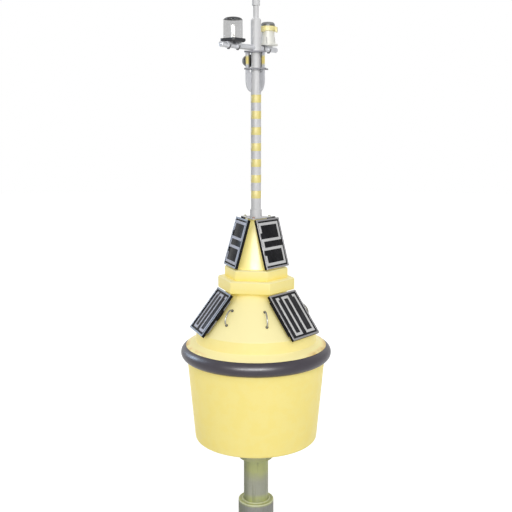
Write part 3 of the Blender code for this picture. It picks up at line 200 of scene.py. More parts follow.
class Graph(Tree):
    """A material built up from the object's own coordinates, in metres."""

    def __init__(self, name, metallic=0.0, shine=0.5, **constants):
        MATERIALS[name] = bpy.data.materials.new(name)
        super().__init__(MATERIALS[name])
        self.shader = self.nodes["Principled BSDF"]
        constants.update(Metallic=metallic, Specular_IOR_Level=shine)
        for key, value in constants.items():
            self.shader.inputs[key.replace("_", " ")].default_value = value
        spot = self.nodes.new("ShaderNodeTexCoord").outputs
        self.where, self.facing = spot["Object"], spot["Normal"]

    def stretch(self, scale):
        return self.add("Mapping", "Vector", {"Vector": self.where, "Scale": scale})

    def noise(self, scale, detail=4.0, roughness=0.55, where=None):
        return self.add("TexNoise", "Fac", {"Vector": where or self.where, "Scale": scale, "Detail": detail,
                                            "Roughness": roughness})

    def cells(self, scale):
        return self.add("TexVoronoi", "Distance", {"Vector": self.where, "Scale": scale})

    def span(self, value, low, high, to_low=0.0, to_high=1.0):
        return self.add("MapRange", "Result", {"Value": value, "From Min": low, "From Max": high,
                                               "To Min": to_low, "To Max": to_high},
                        interpolation_type="SMOOTHSTEP")

    def axis(self, letter):
        return self.add("SeparateXYZ", letter, {"Vector": self.where})

    def normal(self, letter):
        return self.add("SeparateXYZ", letter, {"Vector": self.facing})

    def distance(self, value, middle):
        return self.calc("ABSOLUTE", self.calc("SUBTRACT", value, middle))

    def drift(self, scale, detail, *ends):
        return self.span(self.noise(scale, detail), 0.3, 0.7, *ends)

    def mix(self, factor, first, second):
        return self.add("Mix", 2, {"Factor": factor, 6: first, 7: second}, data_type="RGBA")

    def over(self, tone, colour, value, *span):
        """The tone with a colour laid over it where the value lies in a span."""
        return self.mix(self.span(value, *span), tone, colour)

    def bump(self, height, distance):
        normal = self.add("Bump", "Normal", {"Height": height, "Distance": distance})
        self.put(self.shader.inputs["Normal"], normal)

    def finish(self, colour, roughness):
        self.put(self.shader.inputs["Base Color"], colour)
        self.put(self.shader.inputs["Roughness"], roughness)


def tinted(colour, share):
    return tuple(min(1.0, channel * share) for channel in colour)


def coated(name, colour, drift=0.06, rough=(0.35, 0.5), grain=220.0, bump=0.0002, metallic=0.0, **constants):
    """A painted or moulded surface: slow colour drift, fine mottling, uneven gloss, fine grain."""
    graph = Graph(name, metallic, **constants)
    fine = graph.noise(45.0, 5.0, 0.6)
    tone = graph.mix(graph.drift(3.0, 3.0), tinted(colour, 1 - drift), tinted(colour, 1 + drift / 2))
    tone = graph.over(tone, tinted(colour, 1 - 2 * drift), fine, 0.35, 0.75, 0.0, 0.5)
    gloss = graph.drift(12.0, 4.0, *rough)
    graph.bump(graph.noise(grain, 2.0), bump)
    return graph, tone, gloss


def simple(*looks, **options):
    graph, tone, gloss = coated(*looks, **options)
    graph.finish(tone, gloss)


def hull_paint(name, shine, rough, glow):
    """Moulded yellow with a painted glow that lifts its shaded sides: painted light on faces that turn up,
    faint blotches, brown on the deck rim's edge towards the camera's left and right, darker at the tower's
    top just under the mast's plate."""
    # Painted glow: the emission lifts the yellow's shaded sides.
    graph = Graph(name, shine=shine, Emission_Color=(*glow, 1.0), Emission_Strength=1.0)
    blotch = graph.span(graph.noise(8.0, 3.0, 0.5), 0.38, 0.64, 0.0, 0.75)
    tone = graph.mix(blotch, (0.945, 0.822, 0.332), (0.935, 0.802, 0.290))
    fleck = graph.span(graph.noise(38.0, 4.0, 0.6), 0.58, 0.78, 0.0, 0.20)
    tone = graph.mix(fleck, tone, (0.890, 0.730, 0.230))
    # Painted light: faces that turn up are paler, partly from upright and fully from steeply upward.
    upward = graph.normal("Z")
    painted_top_light = (0.935, 0.868, 0.500)
    tone = graph.over(tone, painted_top_light, upward, -0.08, 0.02, 0.0, 0.32)
    tone = graph.over(tone, painted_top_light, upward, 0.10, 0.60)
    up = graph.axis("Z")
    # Brown on the deck rim's edge, only where it faces the camera's left and right.
    edge = graph.times(graph.span(up, 0.600, 0.645), graph.span(up, 0.682, 0.652))
    rim_brown = graph.times(edge, graph.span(graph.noise(5.0, 4.0), 0.34, 0.58, 0.0, 0.80))
    to_side = graph.calc("ADD", graph.axis("X"), graph.times(graph.axis("Y"), 0.168))
    rim_brown = graph.times(rim_brown, graph.span(graph.calc("ABSOLUTE", to_side), 0.56, 0.74))
    tone = graph.mix(rim_brown, tone, (0.60, 0.36, 0.15))
    # Darker at the tower's top, just under the mast's plate.
    tone = graph.over(tone, (0.10, 0.10, 0.11), up, 2.228, 2.232)
    gloss = graph.drift(12.0, 4.0, *rough)
    graph.bump(graph.noise(120.0, 2.0), 0.0003)
    graph.finish(tone, gloss)


def fender_paint():
    graph, tone, gloss = coated("fender_rubber", (0.036, 0.028, 0.042), 0.12, (0.34, 0.42),
                                bump=0.00005, shine=0.55)
    scuff = graph.noise(1.0, 6.0, 0.7, graph.stretch((9.0, 9.0, 40.0)))
    tone = graph.over(tone, (0.10, 0.085, 0.10), scuff, 0.58, 0.80, 0.0, 0.4)
    graph.finish(tone, gloss)


def algae_paint(name, colour, bands, highlight_radii=()):
    """Metal with green growth and painted shade on its flank that faces -X. Bands are (low, high, strength)
    where the growth is thickest, and the last argument holds the radii of pale rings on top, painted
    highlights on the socket's and the ballast's rims."""
    graph, tone, gloss = coated(name, colour, drift=0.10, rough=(0.45, 0.7), bump=0.0008, grain=90.0,
                                metallic=0.1)
    up = graph.axis("Z")
    patch = graph.noise(9.0, 6.0, 0.65)
    for low, high, strength in bands:
        half = (high - low) / 2
        where = graph.span(graph.distance(up, (low + high) / 2), half * 1.6, half * 0.4)
        cover = graph.times(where, graph.span(patch, 0.25, 0.6, strength * 0.5, strength))
        tone = graph.mix(cover, tone, (0.50, 0.545, 0.20))
    streak = graph.noise(1.0, 5.0, 0.6, graph.stretch((22.0, 22.0, 1.5)))
    tone = graph.over(tone, (0.19, 0.20, 0.13), streak, 0.48, 0.75, 0.0, 0.5)
    # Painted shade: darker on the flank that faces -X.
    tone = graph.over(tone, (0.15, 0.165, 0.10), graph.normal("X"), -0.25, -0.85, 0.0, 0.65)
    rim_z = BALLAST_TOP_Z - 0.0159
    # Painted highlights: pale rings on top, at the rims' edges.
    for radius in highlight_radii:
        squares = [graph.calc("POWER", graph.axis(letter), 2.0) for letter in "XY"]
        out = graph.calc("SQRT", graph.calc("ADD", *squares))
        ring = graph.span(graph.distance(out, radius), 0.008, 0.002, 0.0, 0.75)
        ring = graph.times(ring, graph.span(up, rim_z, rim_z + 0.006))
        tone = graph.mix(ring, tone, (0.70, 0.73, 0.52))
    graph.finish(tone, gloss)


def plate_paint():
    """Grey paint with painted shade on the rims, on their sideways and downward faces."""
    graph, tone, gloss = coated("plate_grey", (0.76, 0.76, 0.765), 0.04, (0.30, 0.42),
                                shine=0.15)
    # Painted shade: darker as the face turns from up to sideways and down.
    tone = graph.over(tone, (0.30, 0.30, 0.33), graph.normal("Z"), 0.80, 0.10)
    graph.finish(tone, gloss)


def rib_paint():
    """Grey paint with a soft yellow patch half-way between the cage's plates, and painted shade on its inner
    edge next to the mast.
    """
    graph, tone, gloss = coated("rib_grey", (0.66, 0.67, 0.70), drift=0.06, shine=0.20)
    away = graph.distance(graph.axis("Y"), CAGE_MIDDLE_Z)
    tone = graph.over(tone, (0.90, 0.74, 0.20), away, 0.066, 0.030, 0.0, 0.92)
    # Painted shade between the rib and the mast: the inner edge is dark at mid-height.
    inner = graph.times(graph.span(graph.axis("X"), 0.103, 0.094), graph.span(away, 0.096, 0.086))
    tone = graph.mix(graph.times(inner, 0.92), tone, (0.050, 0.050, 0.050))
    graph.finish(tone, gloss)


def laminate(name, share):
    """Dark cells under glass, with their fine silver fingers and uneven depth of black."""
    graph = Graph(name, shine=0.03)
    tone = graph.mix(graph.drift(5.0, 3.0), tinted((0.013, 0.013, 0.014), share),
                     tinted((0.022, 0.022, 0.025), share))
    across = graph.calc("FRACT", graph.times(graph.axis("X"), 1 / FINGER_PITCH))
    tone = graph.over(tone, (0.045, 0.045, 0.050), across, 0.86, 0.94, 0.0, 0.25)
    gloss = graph.drift(20.0, 4.0, 0.20, 0.32)
    graph.bump(graph.noise(30.0, 2.0), 0.0003)
    graph.finish(tone, gloss)


def brushed(name, colour, along, metallic, rough=(0.28, 0.42), drift=0.08):
    graph, tone, gloss = coated(name, colour, drift=drift, rough=rough, metallic=metallic)
    scratch = graph.noise(1.0, 5.0, 0.7, graph.stretch(along))
    tone = graph.over(tone, tinted(colour, 1.25), scratch, 0.4, 0.8, 0.0, 0.45)
    graph.bump(scratch, 0.0002)
    graph.finish(tone, gloss)


def dome_paint():
    """Smoky dome, darker towards its rim."""
    graph, tone, gloss = coated("dome_grey", (0.25, 0.255, 0.255), 0.10, (0.22, 0.36))
    tone = graph.over(tone, (0.105, 0.105, 0.085), graph.axis("Z"), 0.030, 0.006)
    graph.finish(tone, gloss)


def tape_paint():
    """Retroreflective tape: a fine honeycomb in the yellow."""
    graph, tone, gloss = coated("band_yellow", (0.94, 0.80, 0.23), 0.05, (0.40, 0.55))
    comb = graph.cells(320.0)
    tone = graph.over(tone, (0.98, 0.88, 0.48), comb, 0.30, 0.62, 0.0, 0.35)
    graph.bump(comb, 0.0002)
    graph.finish(tone, gloss)


def glass_paint():
    graph = Graph("lantern_glass", Transmission_Weight=1.0, IOR=1.03)
    tone = graph.mix(graph.drift(8.0, 3.0), (0.71, 0.71, 0.71), (0.73, 0.73, 0.73))
    graph.finish(tone, graph.drift(30.0, 3.0, 0.02, 0.03))


def lamp_paint():
    graph = Graph("lamp_white", Emission_Color=(1.0, 1.0, 0.93, 1.0), Emission_Strength=0.19)
    tone = graph.mix(graph.drift(40.0, 3.0), (0.90, 0.90, 0.87), (0.96, 0.96, 0.93))
    graph.bump(graph.noise(120.0, 2.0), 0.0002)
    graph.finish(tone, graph.drift(25.0, 3.0, 0.25, 0.40))


def build_paints():
    # Both yellows glow faintly, as painted light that lifts their shaded sides; more on the upper cone, which
    # the panels shade.
    hull_paint("hull_yellow", 0.15, (0.36, 0.45), (0.135, 0.10, 0.0))
    hull_paint("tower_yellow", 0.38, (0.26, 0.33), (0.33, 0.27, 0.06))
    fender_paint()
    simple("mast_grey", (0.76, 0.76, 0.765), 0.04, (0.30, 0.42), shine=0.15)
    plate_paint()
    rib_paint()
    tape_paint()
    brushed("frame_metal", (0.30, 0.295, 0.305), (6.0, 90.0, 90.0), 0.4)
    # Painted shade with a painted bluish reflection: a darker copy of the frame's metal for the panels on the
    # camera's left.
    brushed("frame_metal_shaded", (0.20, 0.225, 0.265), (6.0, 90.0, 90.0), 0.4)
    simple("frame_black", (0.009, 0.009, 0.010), 0.15, (0.30, 0.45), shine=0.08)
    laminate("panel_black", 1.0)
    # The lower tier's cells are a lighter copy: painted light from above, which the lower, more upturned
    # panels take.
    laminate("panel_black_lit", 1.9)
    brushed("busbar_silver", (0.58, 0.58, 0.58), (40.0, 40.0, 40.0), 0.35)
    # Painted shade with a painted bluish reflection: a darker copy of the busbar's metal for the panels on
    # the camera's left.
    brushed("busbar_silver_shaded", (0.28, 0.275, 0.31), (40.0, 40.0, 40.0), 0.35)
    brushed("handle_steel", (0.31, 0.31, 0.285), (60.0, 12.0, 60.0), 0.5)
    simple("handle_foot", (0.045, 0.043, 0.038), 0.15, (0.35, 0.5))
    brushed("arm_grey", (0.66, 0.67, 0.70), (60.0, 60.0, 6.0), 0.4)
    # Dark paint for the clamps' lugs, and painted shade for their dark bands and for the clamp that lies in
    # the sensor foot's shade.
    simple("seam_dark", (0.17, 0.17, 0.18), 0.10, (0.4, 0.5), shine=0.3)
    simple("rail_grey", (0.17, 0.17, 0.17), 0.10, (0.45, 0.55))
    simple("dark_plastic", (0.028, 0.029, 0.033), 0.12, (0.32, 0.48), shine=0.30)
    glass_paint()
    lamp_paint()
    simple("sensor_white", (0.93, 0.925, 0.86), 0.03, (0.35, 0.5))
    simple("sensor_ring", (0.93, 0.83, 0.38), 0.05, (0.35, 0.5))
    dome_paint()
    simple("dome_pale", (0.33, 0.33, 0.31), 0.10, (0.45, 0.60), shine=0.3)
    algae_paint("tail_steel", (0.44, 0.45, 0.37), ((-1.10, -0.80, 0.80), (-1.50, -1.36, 0.9)))
    algae_paint("cast_iron", (0.29, 0.295, 0.275), ((-1.47, -1.42, 0.8),), PAINTED_HIGHLIGHT_RINGS)
    simple("bolt_rust", (0.42, 0.27, 0.22), 0.2, (0.5, 0.7), metallic=0.3)
    simple("bolt_steel", (0.50, 0.49, 0.40), 0.1, (0.3, 0.5), metallic=0.6)


# Mesh helpers

def outwards(azimuth, out, up=0.0):
    angle = math.radians(azimuth)
    return Vector((out * math.sin(angle), -out * math.cos(angle), up))


def upright(azimuth, lean=0.0):
    return Euler((math.pi / 2 - lean, 0, math.radians(azimuth)))


def turned(azimuth):
    """The matrix that stands a flat piece up with its edge towards the azimuth."""
    return upright(azimuth - 90).to_matrix().to_4x4()


def on_cone(azimuth, cone, down, stand):
    """Place and turn of a thing so far down a cone's side and so far off it."""
    _, _, top_r, top_z, lean = cone
    out = top_r + down * math.sin(lean) + stand * math.cos(lean)
    up = top_z - down * math.cos(lean) + stand * math.sin(lean)
    return outwards(azimuth, out, up), upright(azimuth, lean)


def arc(centre, radius_x, radius_y, start, end, steps=12):
    points = []
    for step in range(steps + 1):
        angle = math.radians(start + (end - start) * step / steps)
        points.append((centre[0] + radius_x * math.cos(angle), centre[1] + radius_y * math.sin(angle)))
    return points


def rounded(corners, steps=6):
    """An outline from (x, y, fillet radius) corners, where a radius of zero stays sharp."""
    points = []
    for index, (x, y, radius) in enumerate(corners):
        here = Vector((x, y))
        if radius == 0:
            points.append((x, y))
            continue
        before = Vector(corners[index - 1][:2]) - here
        after = Vector(corners[(index + 1) % len(corners)][:2]) - here
        half = before.angle(after) / 2
        start = here + before.normalized() * radius / math.tan(half)
        middle = here + (before.normalized() + after.normalized()).normalized() * radius / math.sin(half)
        first = start - middle
        turn = (math.pi - 2 * half) * (1 if first.cross(here - middle) > 0 else -1)
        for step in range(steps + 1):
            spoke = first.copy()
            spoke.rotate(Matrix.Rotation(turn * step / steps, 2))
            points.append(tuple(middle + spoke))
    return points


def rounded_square(half, corner_r):
    return rounded([(half, half, corner_r), (-half, half, corner_r), (-half, -half, corner_r),
                    (half, -half, corner_r)], steps=12)


def corner_plate(azimuths, reach, corner_r, ear=None):
    """An outline with a rounded corner at each azimuth, and a round ear between two."""
    outline = []
    half = 180 / len(azimuths)
    for azimuth in azimuths:
        corner = outwards(azimuth, reach - corner_r)
        outline += arc((corner.x, corner.y), corner_r, corner_r, azimuth - 90 - half, azimuth - 90 + half, 16)
        if ear and azimuth < ear[0] < azimuth + 2 * half:
            ear_azimuth, ear_reach, ear_r = ear
            side = (reach - corner_r) * math.cos(math.radians(half)) + corner_r
            tip, root = outwards(ear_azimuth, ear_reach - ear_r), outwards(ear_azimuth, side)
            across = outwards(ear_azimuth + 90, ear_r)
            outline.append((root.x - across.x, root.y - across.y))
            outline += arc((tip.x, tip.y), ear_r, ear_r, ear_azimuth - 180, ear_azimuth, 16)
            outline.append((root.x + across.x, root.y + across.y))
    return outline


def skin(rings, looped=False):
    """A closed bmesh through rings of as many points each: a bar with two ends, or looped into a frame.
    A ring may shrink to one point."""
    bm = bmesh.new()
    rings = [[bm.verts.new(ring[0])] * len(ring) if ring.count(ring[0]) == len(ring)
             else [bm.verts.new(point) for point in ring] for ring in rings]
    for lower, upper in zip(rings, rings[1:] + (rings[:1] if looped else [])):
        for index in range(len(lower)):
            corners = dict.fromkeys((lower[index - 1], lower[index], upper[index], upper[index - 1]))
            if len(corners) > 2:
                bm.faces.new(corners)
    for end in (0, -1):
        if not looped and rings[end][0] != rings[end][1]:
            bm.faces.new(rings[end])
    return bm


def lathe(profile, steps, closed=False, start=0.0):
    """A bmesh turned from (radius, height) points round Z; an open profile starts and ends on the axis."""
    angles = [math.radians(start) + 2 * math.pi * step / steps for step in range(steps)]
    return skin([[(radius * math.sin(angle), -radius * math.cos(angle), height) if radius > 1e-7
                  else (0, 0, height) for angle in angles] for radius, height in profile], closed)


def turned_body(corners, steps, fillet_steps=6):
    """A solid turned round Z from the (radius, height, fillet radius) corners of its side."""
    low, high = [(0, corners[end][1], 0) for end in (0, -1)]
    return lathe(rounded([low, *corners, high], fillet_steps), steps)


def drum(radius, height, low_fillet, high_fillet, steps, fillet_steps=6):
    """A round block that stands on Z = 0."""
    return turned_body([(radius, 0, low_fillet), (radius, height, high_fillet)], steps, fillet_steps)


def tube(bore, radius, low, high, low_fillet, high_fillet, fillet_steps=6):
    """A hollow round body between two heights."""
    return lathe(rounded([(bore, low, 0), (radius, low, low_fillet), (radius, high, high_fillet),
                          (bore, high, 0)], fillet_steps), MID_STEPS, closed=True)


def loft(sections):
    return skin([[(x, y, z) for x, y in outline] for outline, z in sections])


def prism(outline, low, high):
    return loft([(outline, low), (outline, high)])


def slab(outline, half):
    """A prism half to each side of its middle plane."""
    return prism(outline, -half, half)


def holed_plate(outline, hole_r, thickness):
    """A plate on Z = 0 with a round hole; its outline is seen whole from the axis."""
    rings = []
    for z, is_hole in ((0, False), (thickness, False), (thickness, True), (0, True)):
        ring = [Vector(point) for point in outline]
        if is_hole:
            ring = [point.normalized() * hole_r for point in ring]
        rings.append([(point.x, point.y, z) for point in ring])
    return skin(rings, looped=True)


def box_mesh(low, high):
    bm = bmesh.new()
    bmesh.ops.create_cube(bm, size=1.0)
    low, high = Vector(low), Vector(high)
    for vertex in bm.verts:
        for axis in range(3):
            vertex.co[axis] = (low[axis] + high[axis]) / 2 + vertex.co[axis] * (high[axis] - low[axis])
    return bm


def bevel(bm, width, segments=3, angle=30.0):
    """Rounds every edge sharper than the angle."""
    bmesh.ops.recalc_face_normals(bm, faces=bm.faces)
    sharp = [edge for edge in bm.edges
             if len(edge.link_faces) == 2 and edge.calc_face_angle(0) > math.radians(angle)]
    bmesh.ops.bevel(bm, geom=sharp, offset=width, offset_type="OFFSET", segments=segments, profile=0.5,
                    affect="EDGES", clamp_overlap=True)
    return bm


def sweep(points, radius, side, steps):
    """A round rod along the points, which lie square to side; its ends are closed."""
    angles = [2 * math.pi * step / steps for step in range(steps)]
    rings = []
    for index, point in enumerate(points):
        ahead = points[min(index + 1, len(points) - 1)] - points[max(index - 1, 0)]
        across = ahead.normalized().cross(side)
        spokes = [side * math.cos(angle) + across * math.sin(angle) for angle in angles]
        rings.append([point + radius * spoke for spoke in spokes])
    return skin(rings)


def in_second(bm):
    """The same bmesh, with all its faces in the mesh's second material."""
    for face in bm.faces:
        face.material_index = 1
    return bm


def baked(name, bm):
    mesh = bpy.data.meshes.new(name)
    bm.to_mesh(mesh)
    bm.free()
    return mesh


def joined(*parts):
    """One bmesh from several, each given as a bmesh or as (bmesh, matrix)."""
    whole = bmesh.new()
    for part in parts:
        bm, matrix = part if isinstance(part, tuple) else (part, Matrix())
        bmesh.ops.transform(bm, matrix=matrix, verts=bm.verts)
        mesh = baked("part", bm)
        whole.from_mesh(mesh)
        bpy.data.meshes.remove(mesh)
    return whole


def mesh_of(name, bm, *materials):
    bmesh.ops.recalc_face_normals(bm, faces=bm.faces)
    mesh = baked(name, bm)
    for each in materials:
        mesh.materials.append(MATERIALS[each])
    mesh.shade_smooth()
    mesh.set_sharp_from_angle(angle=SMOOTH)
    return mesh


def dressed(mesh, paint):
    """The same mesh with another first material."""
    copy = mesh.copy()
    copy.materials[0] = MATERIALS[paint]
    return copy


def linked(name, data, location=(0, 0, 0), rotation=(0, 0, 0)):
    """A new object in the scene."""
    body = bpy.data.objects.new(name, data)
    body.location = location
    body.rotation_euler = rotation
    bpy.context.scene.collection.objects.link(body)
    return body


def place(name, mesh, slot, stands_for=(), location=(0, 0, 0), rotation=(0, 0, 0)):
    body = linked(name, mesh, location, rotation)
    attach(body, "root")
    if stands_for:
        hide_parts(*stands_for)


def piece(name, bm, slot, node=None, location=(0, 0, 0), rotation=(0, 0, 0), paints=()):
    """A piece with a mesh of its own, in its slot's material unless paints are named."""
    place(name, mesh_of(name, bm, *(paints or (slot,))), slot, (node,) if node else (), location, rotation)


# Float, cover, fender and upper cone

def build_float():
    hull = [(HULL_BOTTOM_R, HULL_BOTTOM_Z, BILGE_R), (HULL_TOP_R, HULL_TOP_Z, 0.004)]
    piece("hull_shell", turned_body(hull, ROUND_STEPS, 10), "hull_yellow", "hull_drum")
    cover = [(HULL_TOP_R, HULL_TOP_Z + SEAT, 0.0015), (HULL_TOP_R, DECK_EDGE_Z, 0.007),
             (STEP_FOOT_R, STEP_FOOT_Z, 0.014), (STEP_TOP_R, STEP_TOP_Z, 0.018), (CONE_TOP_R, CONE_TOP_Z, 0)]
    piece("deck_shell", turned_body(cover, ROUND_STEPS, 8), "hull_yellow", "deck_cover")
    wall_r = HULL_TOP_R - HULL_TAPER * (HULL_TOP_Z - FENDER_Z) + SEAT
    middle_r = wall_r + FENDER_STAND - FENDER_HALF_WIDTH
    limit = math.degrees(math.acos((wall_r - middle_r) / FENDER_HALF_WIDTH))
    oval = arc((middle_r, FENDER_Z), FENDER_HALF_WIDTH, FENDER_HALF_HEIGHT, -limit, limit, steps=36)
    for end in (0, -1):
        oval[end] = (wall_r + HULL_TAPER * (oval[end][1] - FENDER_Z), oval[end][1])
    piece("fender", lathe(oval, ROUND_STEPS, closed=True), "fender_rubber", "fender_ring")
    for name, node, corner_r, low, height in HEX_BANDS:
        top = low + height
        band = lathe([(0, low), (corner_r - HEX_CHAMFER / 2, low), (corner_r, low + HEX_CHAMFER / 2),
                      (corner_r, top - HEX_CHAMFER), (corner_r - HEX_CHAMFER, top), (0, top)], 6, start=30.0)
        piece(name, bevel(band, 0.006, angle=20.0), "hull_yellow", node)
    tower = turned_body([(TOWER_FOOT_R, TOWER_Z, 0.002), (TOWER_TOP_R, TOWER_TOP_Z, 0.003)], ROUND_STEPS)
    piece("tower_shell", tower, "hull_yellow", "tower_cone", paints=("tower_yellow",))


# Panels

def tray(width):
    """The panel's edge frame: a section swept round its four mitred corners."""
    rings = []
    for inset, depth, _ in TRAY_SECTION:
        half_w, half_h = width / 2 - inset, PANEL_HEIGHT / 2 - inset
        rings.append([(x * half_w, y * half_h, depth) for x, y in ((-1, -1), (1, -1), (1, 1), (-1, 1))])
    bm = skin(rings, looped=True)
    for index, face in enumerate(bm.faces):
        face.material_index = TRAY_SECTION[index // 4][2]
    return bm


def cone_depth(matrix, x, y, cone):
    """How far behind the panel's face the cone lies at a point of the panel."""
    foot_r, foot_z, top_r, top_z, _ = cone
    near, far = -0.020, -0.30
    for _ in range(40):
        middle = (near + far) / 2
        point = matrix @ Vector((x, y, middle))
        cone_r = top_r + (foot_r - top_r) * (top_z - point.z) / (top_z - foot_z)
        if math.hypot(point.x, point.y) > cone_r + SEAT:
            near = middle
        else:
            far = middle
    return near


def rails_and_seats(matrix, half_w, cone):
    """Two cross rails behind the glass, each with a seat that follows the cone."""
    parts = []
    for share in RAIL_SHARES:
        middle = (share - 0.5) * PANEL_HEIGHT
        low, high = middle - RAIL_WIDTH / 2, middle + RAIL_WIDTH / 2
        rail = box_mesh((-half_w, low, -FRAME_DEPTH), (half_w, high, BACK_REAR))
        rings = []
        for step in range(SEAT_STEPS + 1):
            x = SEAT_WIDTH * (step / SEAT_STEPS - 0.5)
            rings.append([(x, y, TRAY_WALL - FRAME_DEPTH) for y in (low, high)]
                         + [(x, y, cone_depth(matrix, x, y, cone)) for y in (high, low)])
        parts += [bevel(rail, 0.002, 2), skin(rings)]
    return parts


def busbar(path):
    """A flat strip along a path of square corners in the panel's plane."""
    rings = []
    low, high = GLASS_FACE, GLASS_FACE + STRIP_HEIGHT
    for index, here in enumerate(path):
        here = Vector(here)
        before = (here - Vector(path[index - 1])).normalized() if index else None
        after = (Vector(path[index + 1]) - here).normalized() if index + 1 < len(path) else None
        before, after = before or after, after or before
        normal = Vector((-before.y, before.x)) + Vector((-after.y, after.x))
        normal = normal.normalized() * (STRIP_WIDTH / 2) / math.cos(before.angle(after, 0) / 2)
        left, right = here + normal, here - normal
        rings.append([(*left, low), (*right, low), (*right, high), (*left, high)])
    return skin(rings)


def strip_path(width, serpentine):
    """The serpentine's corners in the panel's plane."""
    lines_upright, (a, b), stub, line_margin, end_margin, shift = serpentine
    shares = [(stub, 1), (0, 1), (0, 0), (a, 0), (a, 1), (b, 1), (b, 0), (1, 0), (1, 1), (1 - stub, 1)]
    margins = (line_margin, end_margin)
    if not lines_upright:
        shares = [(1 - end, line) for line, end in shares]
        margins = (end_margin, line_margin)
    run_x = width - 2 * (FRAME_WALL + SEAT + margins[0])
    run_y = PANEL_HEIGHT - 2 * (FRAME_WALL + SEAT + margins[1])
    return [((x - 0.5) * run_x + shift, (y - 0.5) * run_y) for x, y in shares]


def on_panel(azimuth, drop, cone):
    """Place and turn of a panel whose top edge lies so far below the cone's top."""
    return on_cone(azimuth, cone, drop + PANEL_HEIGHT / 2, PANEL_STANDOFF)


def build_panels():
    for tier, width, drop, cells, cone, serpentine in TIERS:
        place_zero, turn_zero = on_panel(0, drop, cone)
        matrix = Matrix.Translation(place_zero) @ turn_zero.to_matrix().to_4x4()
        half_w, half_h = width / 2 - TRAY_WALL, PANEL_HEIGHT / 2 - TRAY_WALL
        back = box_mesh((-half_w, -half_h, BACK_REAR), (half_w, half_h, BACK_FACE))
        behind = [in_second(part) for part in rails_and_seats(matrix, half_w, cone) + [back]]
        frame_mesh = mesh_of("panel_tray_" + tier, joined(tray(width), *behind), "frame_metal", "frame_black")
        half_w, half_h = width / 2 - FRAME_WALL - SEAT, PANEL_HEIGHT / 2 - FRAME_WALL - SEAT
        pane = bevel(box_mesh((-half_w, -half_h, GLASS_BACK), (half_w, half_h, GLASS_FACE)), 0.0008, 2)
        glass = mesh_of("panel_laminate_" + tier, pane, cells)
        strip = bevel(busbar(strip_path(width, serpentine)), 0.0005, 1, angle=60.0)
        strip_mesh = mesh_of("panel_busbar_" + tier, strip, "busbar_silver")
        # The panels on the camera's left wear the darker copies, as painted shade.
        plain_copies, shaded_copies = (frame_mesh, strip_mesh), (dressed(frame_mesh, "frame_metal_shaded"),
                                                  dressed(strip_mesh, "busbar_silver_shaded"))
        for number, azimuth in enumerate(PANEL_AZIMUTHS, 1):
            metal, silver = shaded_copies if azimuth == SHADED_AZIMUTH else plain_copies
            end, spot = f"_{tier}_{number}", on_panel(azimuth, drop, cone)
            place("panel_tray" + end, metal, "frame_metal", ("solar_frame" + end,), *spot)
            place("panel_laminate" + end, glass, "panel_black", ("solar_glass" + end,), *spot)
            place("panel_busbar" + end, silver, None, (), *spot)


def build_side_rails():
    """Behind each lower panel's long sides: a grey rail with a cable box, and opposite it a black rail that
    is painted shade.
    """
    _, width, drop, _, cone, _ = TIERS[0]
    back, front = -FRAME_DEPTH - SIDE_RAIL_DEPTH, -FRAME_DEPTH - SEAT
    edge = width / 2
    rails = []
    for low_x, high_x in ((edge - SIDE_RAIL_WIDTH, edge), (-edge, SIDE_RAIL_WIDTH - edge)):
        rails.append(bevel(box_mesh((low_x, SIDE_RAIL_LOW, back), (high_x, SIDE_RAIL_HIGH, front)), 0.006, 4))
    box_x = edge - BOX_INSET
    outline = [(box_x, BOX_LOW)]
    outline += arc((box_x, BOX_MIDDLE), BOX_OUT, BOX_HALF, -90, 90, 20)
    cable_box = bevel(prism(outline, back + 0.002, BOX_FACE), 0.003)
    grey = mesh_of("panel_rail_grey", joined(rails[0], in_second(cable_box)), "rail_grey", "frame_black")
    # The black rail stands for the shade along the panel's other side: painted shade.
    dark = mesh_of("panel_rail_shaded", rails[1], "frame_black")
    for number, azimuth in enumerate(PANEL_AZIMUTHS, 1):
        spot = on_panel(azimuth, drop, cone)
        place(f"panel_rail_grey_{number}", grey, "frame_metal", (), *spot)
        place(f"panel_rail_shaded_{number}", dark, "frame_metal", (), *spot)


# Handles

def build_handles():
    bow = arc((0, FOOT_HEIGHT), HANDLE_SPAN / 2, HANDLE_REACH - FOOT_HEIGHT, 0, 180, 44)
    bow = [(HANDLE_SPAN / 2, ROD_END)] + bow + [(-HANDLE_SPAN / 2, ROD_END)]
    parts = [sweep([Vector((0, y, z)) for y, z in bow], ROD_R, Vector((1, 0, 0)), 18)]
    crown_z = FOOT_HEIGHT + FOOT_CROWN
    for y in (HANDLE_SPAN / 2, -HANDLE_SPAN / 2):
        foot = turned_body([(FOOT_R, 0, 0.001), (FOOT_R, FOOT_HEIGHT, 0.004), (FOOT_NECK_R, crown_z, 0.001)],
                           28, 4)
        parts.append((in_second(foot), Matrix.Translation((0, y, 0))))
    mesh = mesh_of("grab_handle", joined(*parts), "handle_steel", "handle_foot")
    for number, azimuth in enumerate(HANDLE_AZIMUTHS, 1):
        place(f"grab_handle_{number}", mesh, "handle_steel", (f"handle_{number}",),
              *on_cone(azimuth, LOWER_CONE, HANDLE_DROP, SEAT))


# Mast and cage

def bolt(head_r, height):
    """A hex head on a washer, its foot at the origin, facing +Z."""
    step = height * 0.25
    washer = drum(head_r * 1.25, step, 0, height * 0.08, 28, 3)
    head = lathe([(0, step), (head_r, step), (head_r, height), (0, height)], 6)
    return joined(washer, bevel(head, height * 0.1, 2))


def flat_plate(outline, hole_r, thickness):
    return bevel(holed_plate(outline, hole_r, thickness), 0.002, 2, angle=40.0)


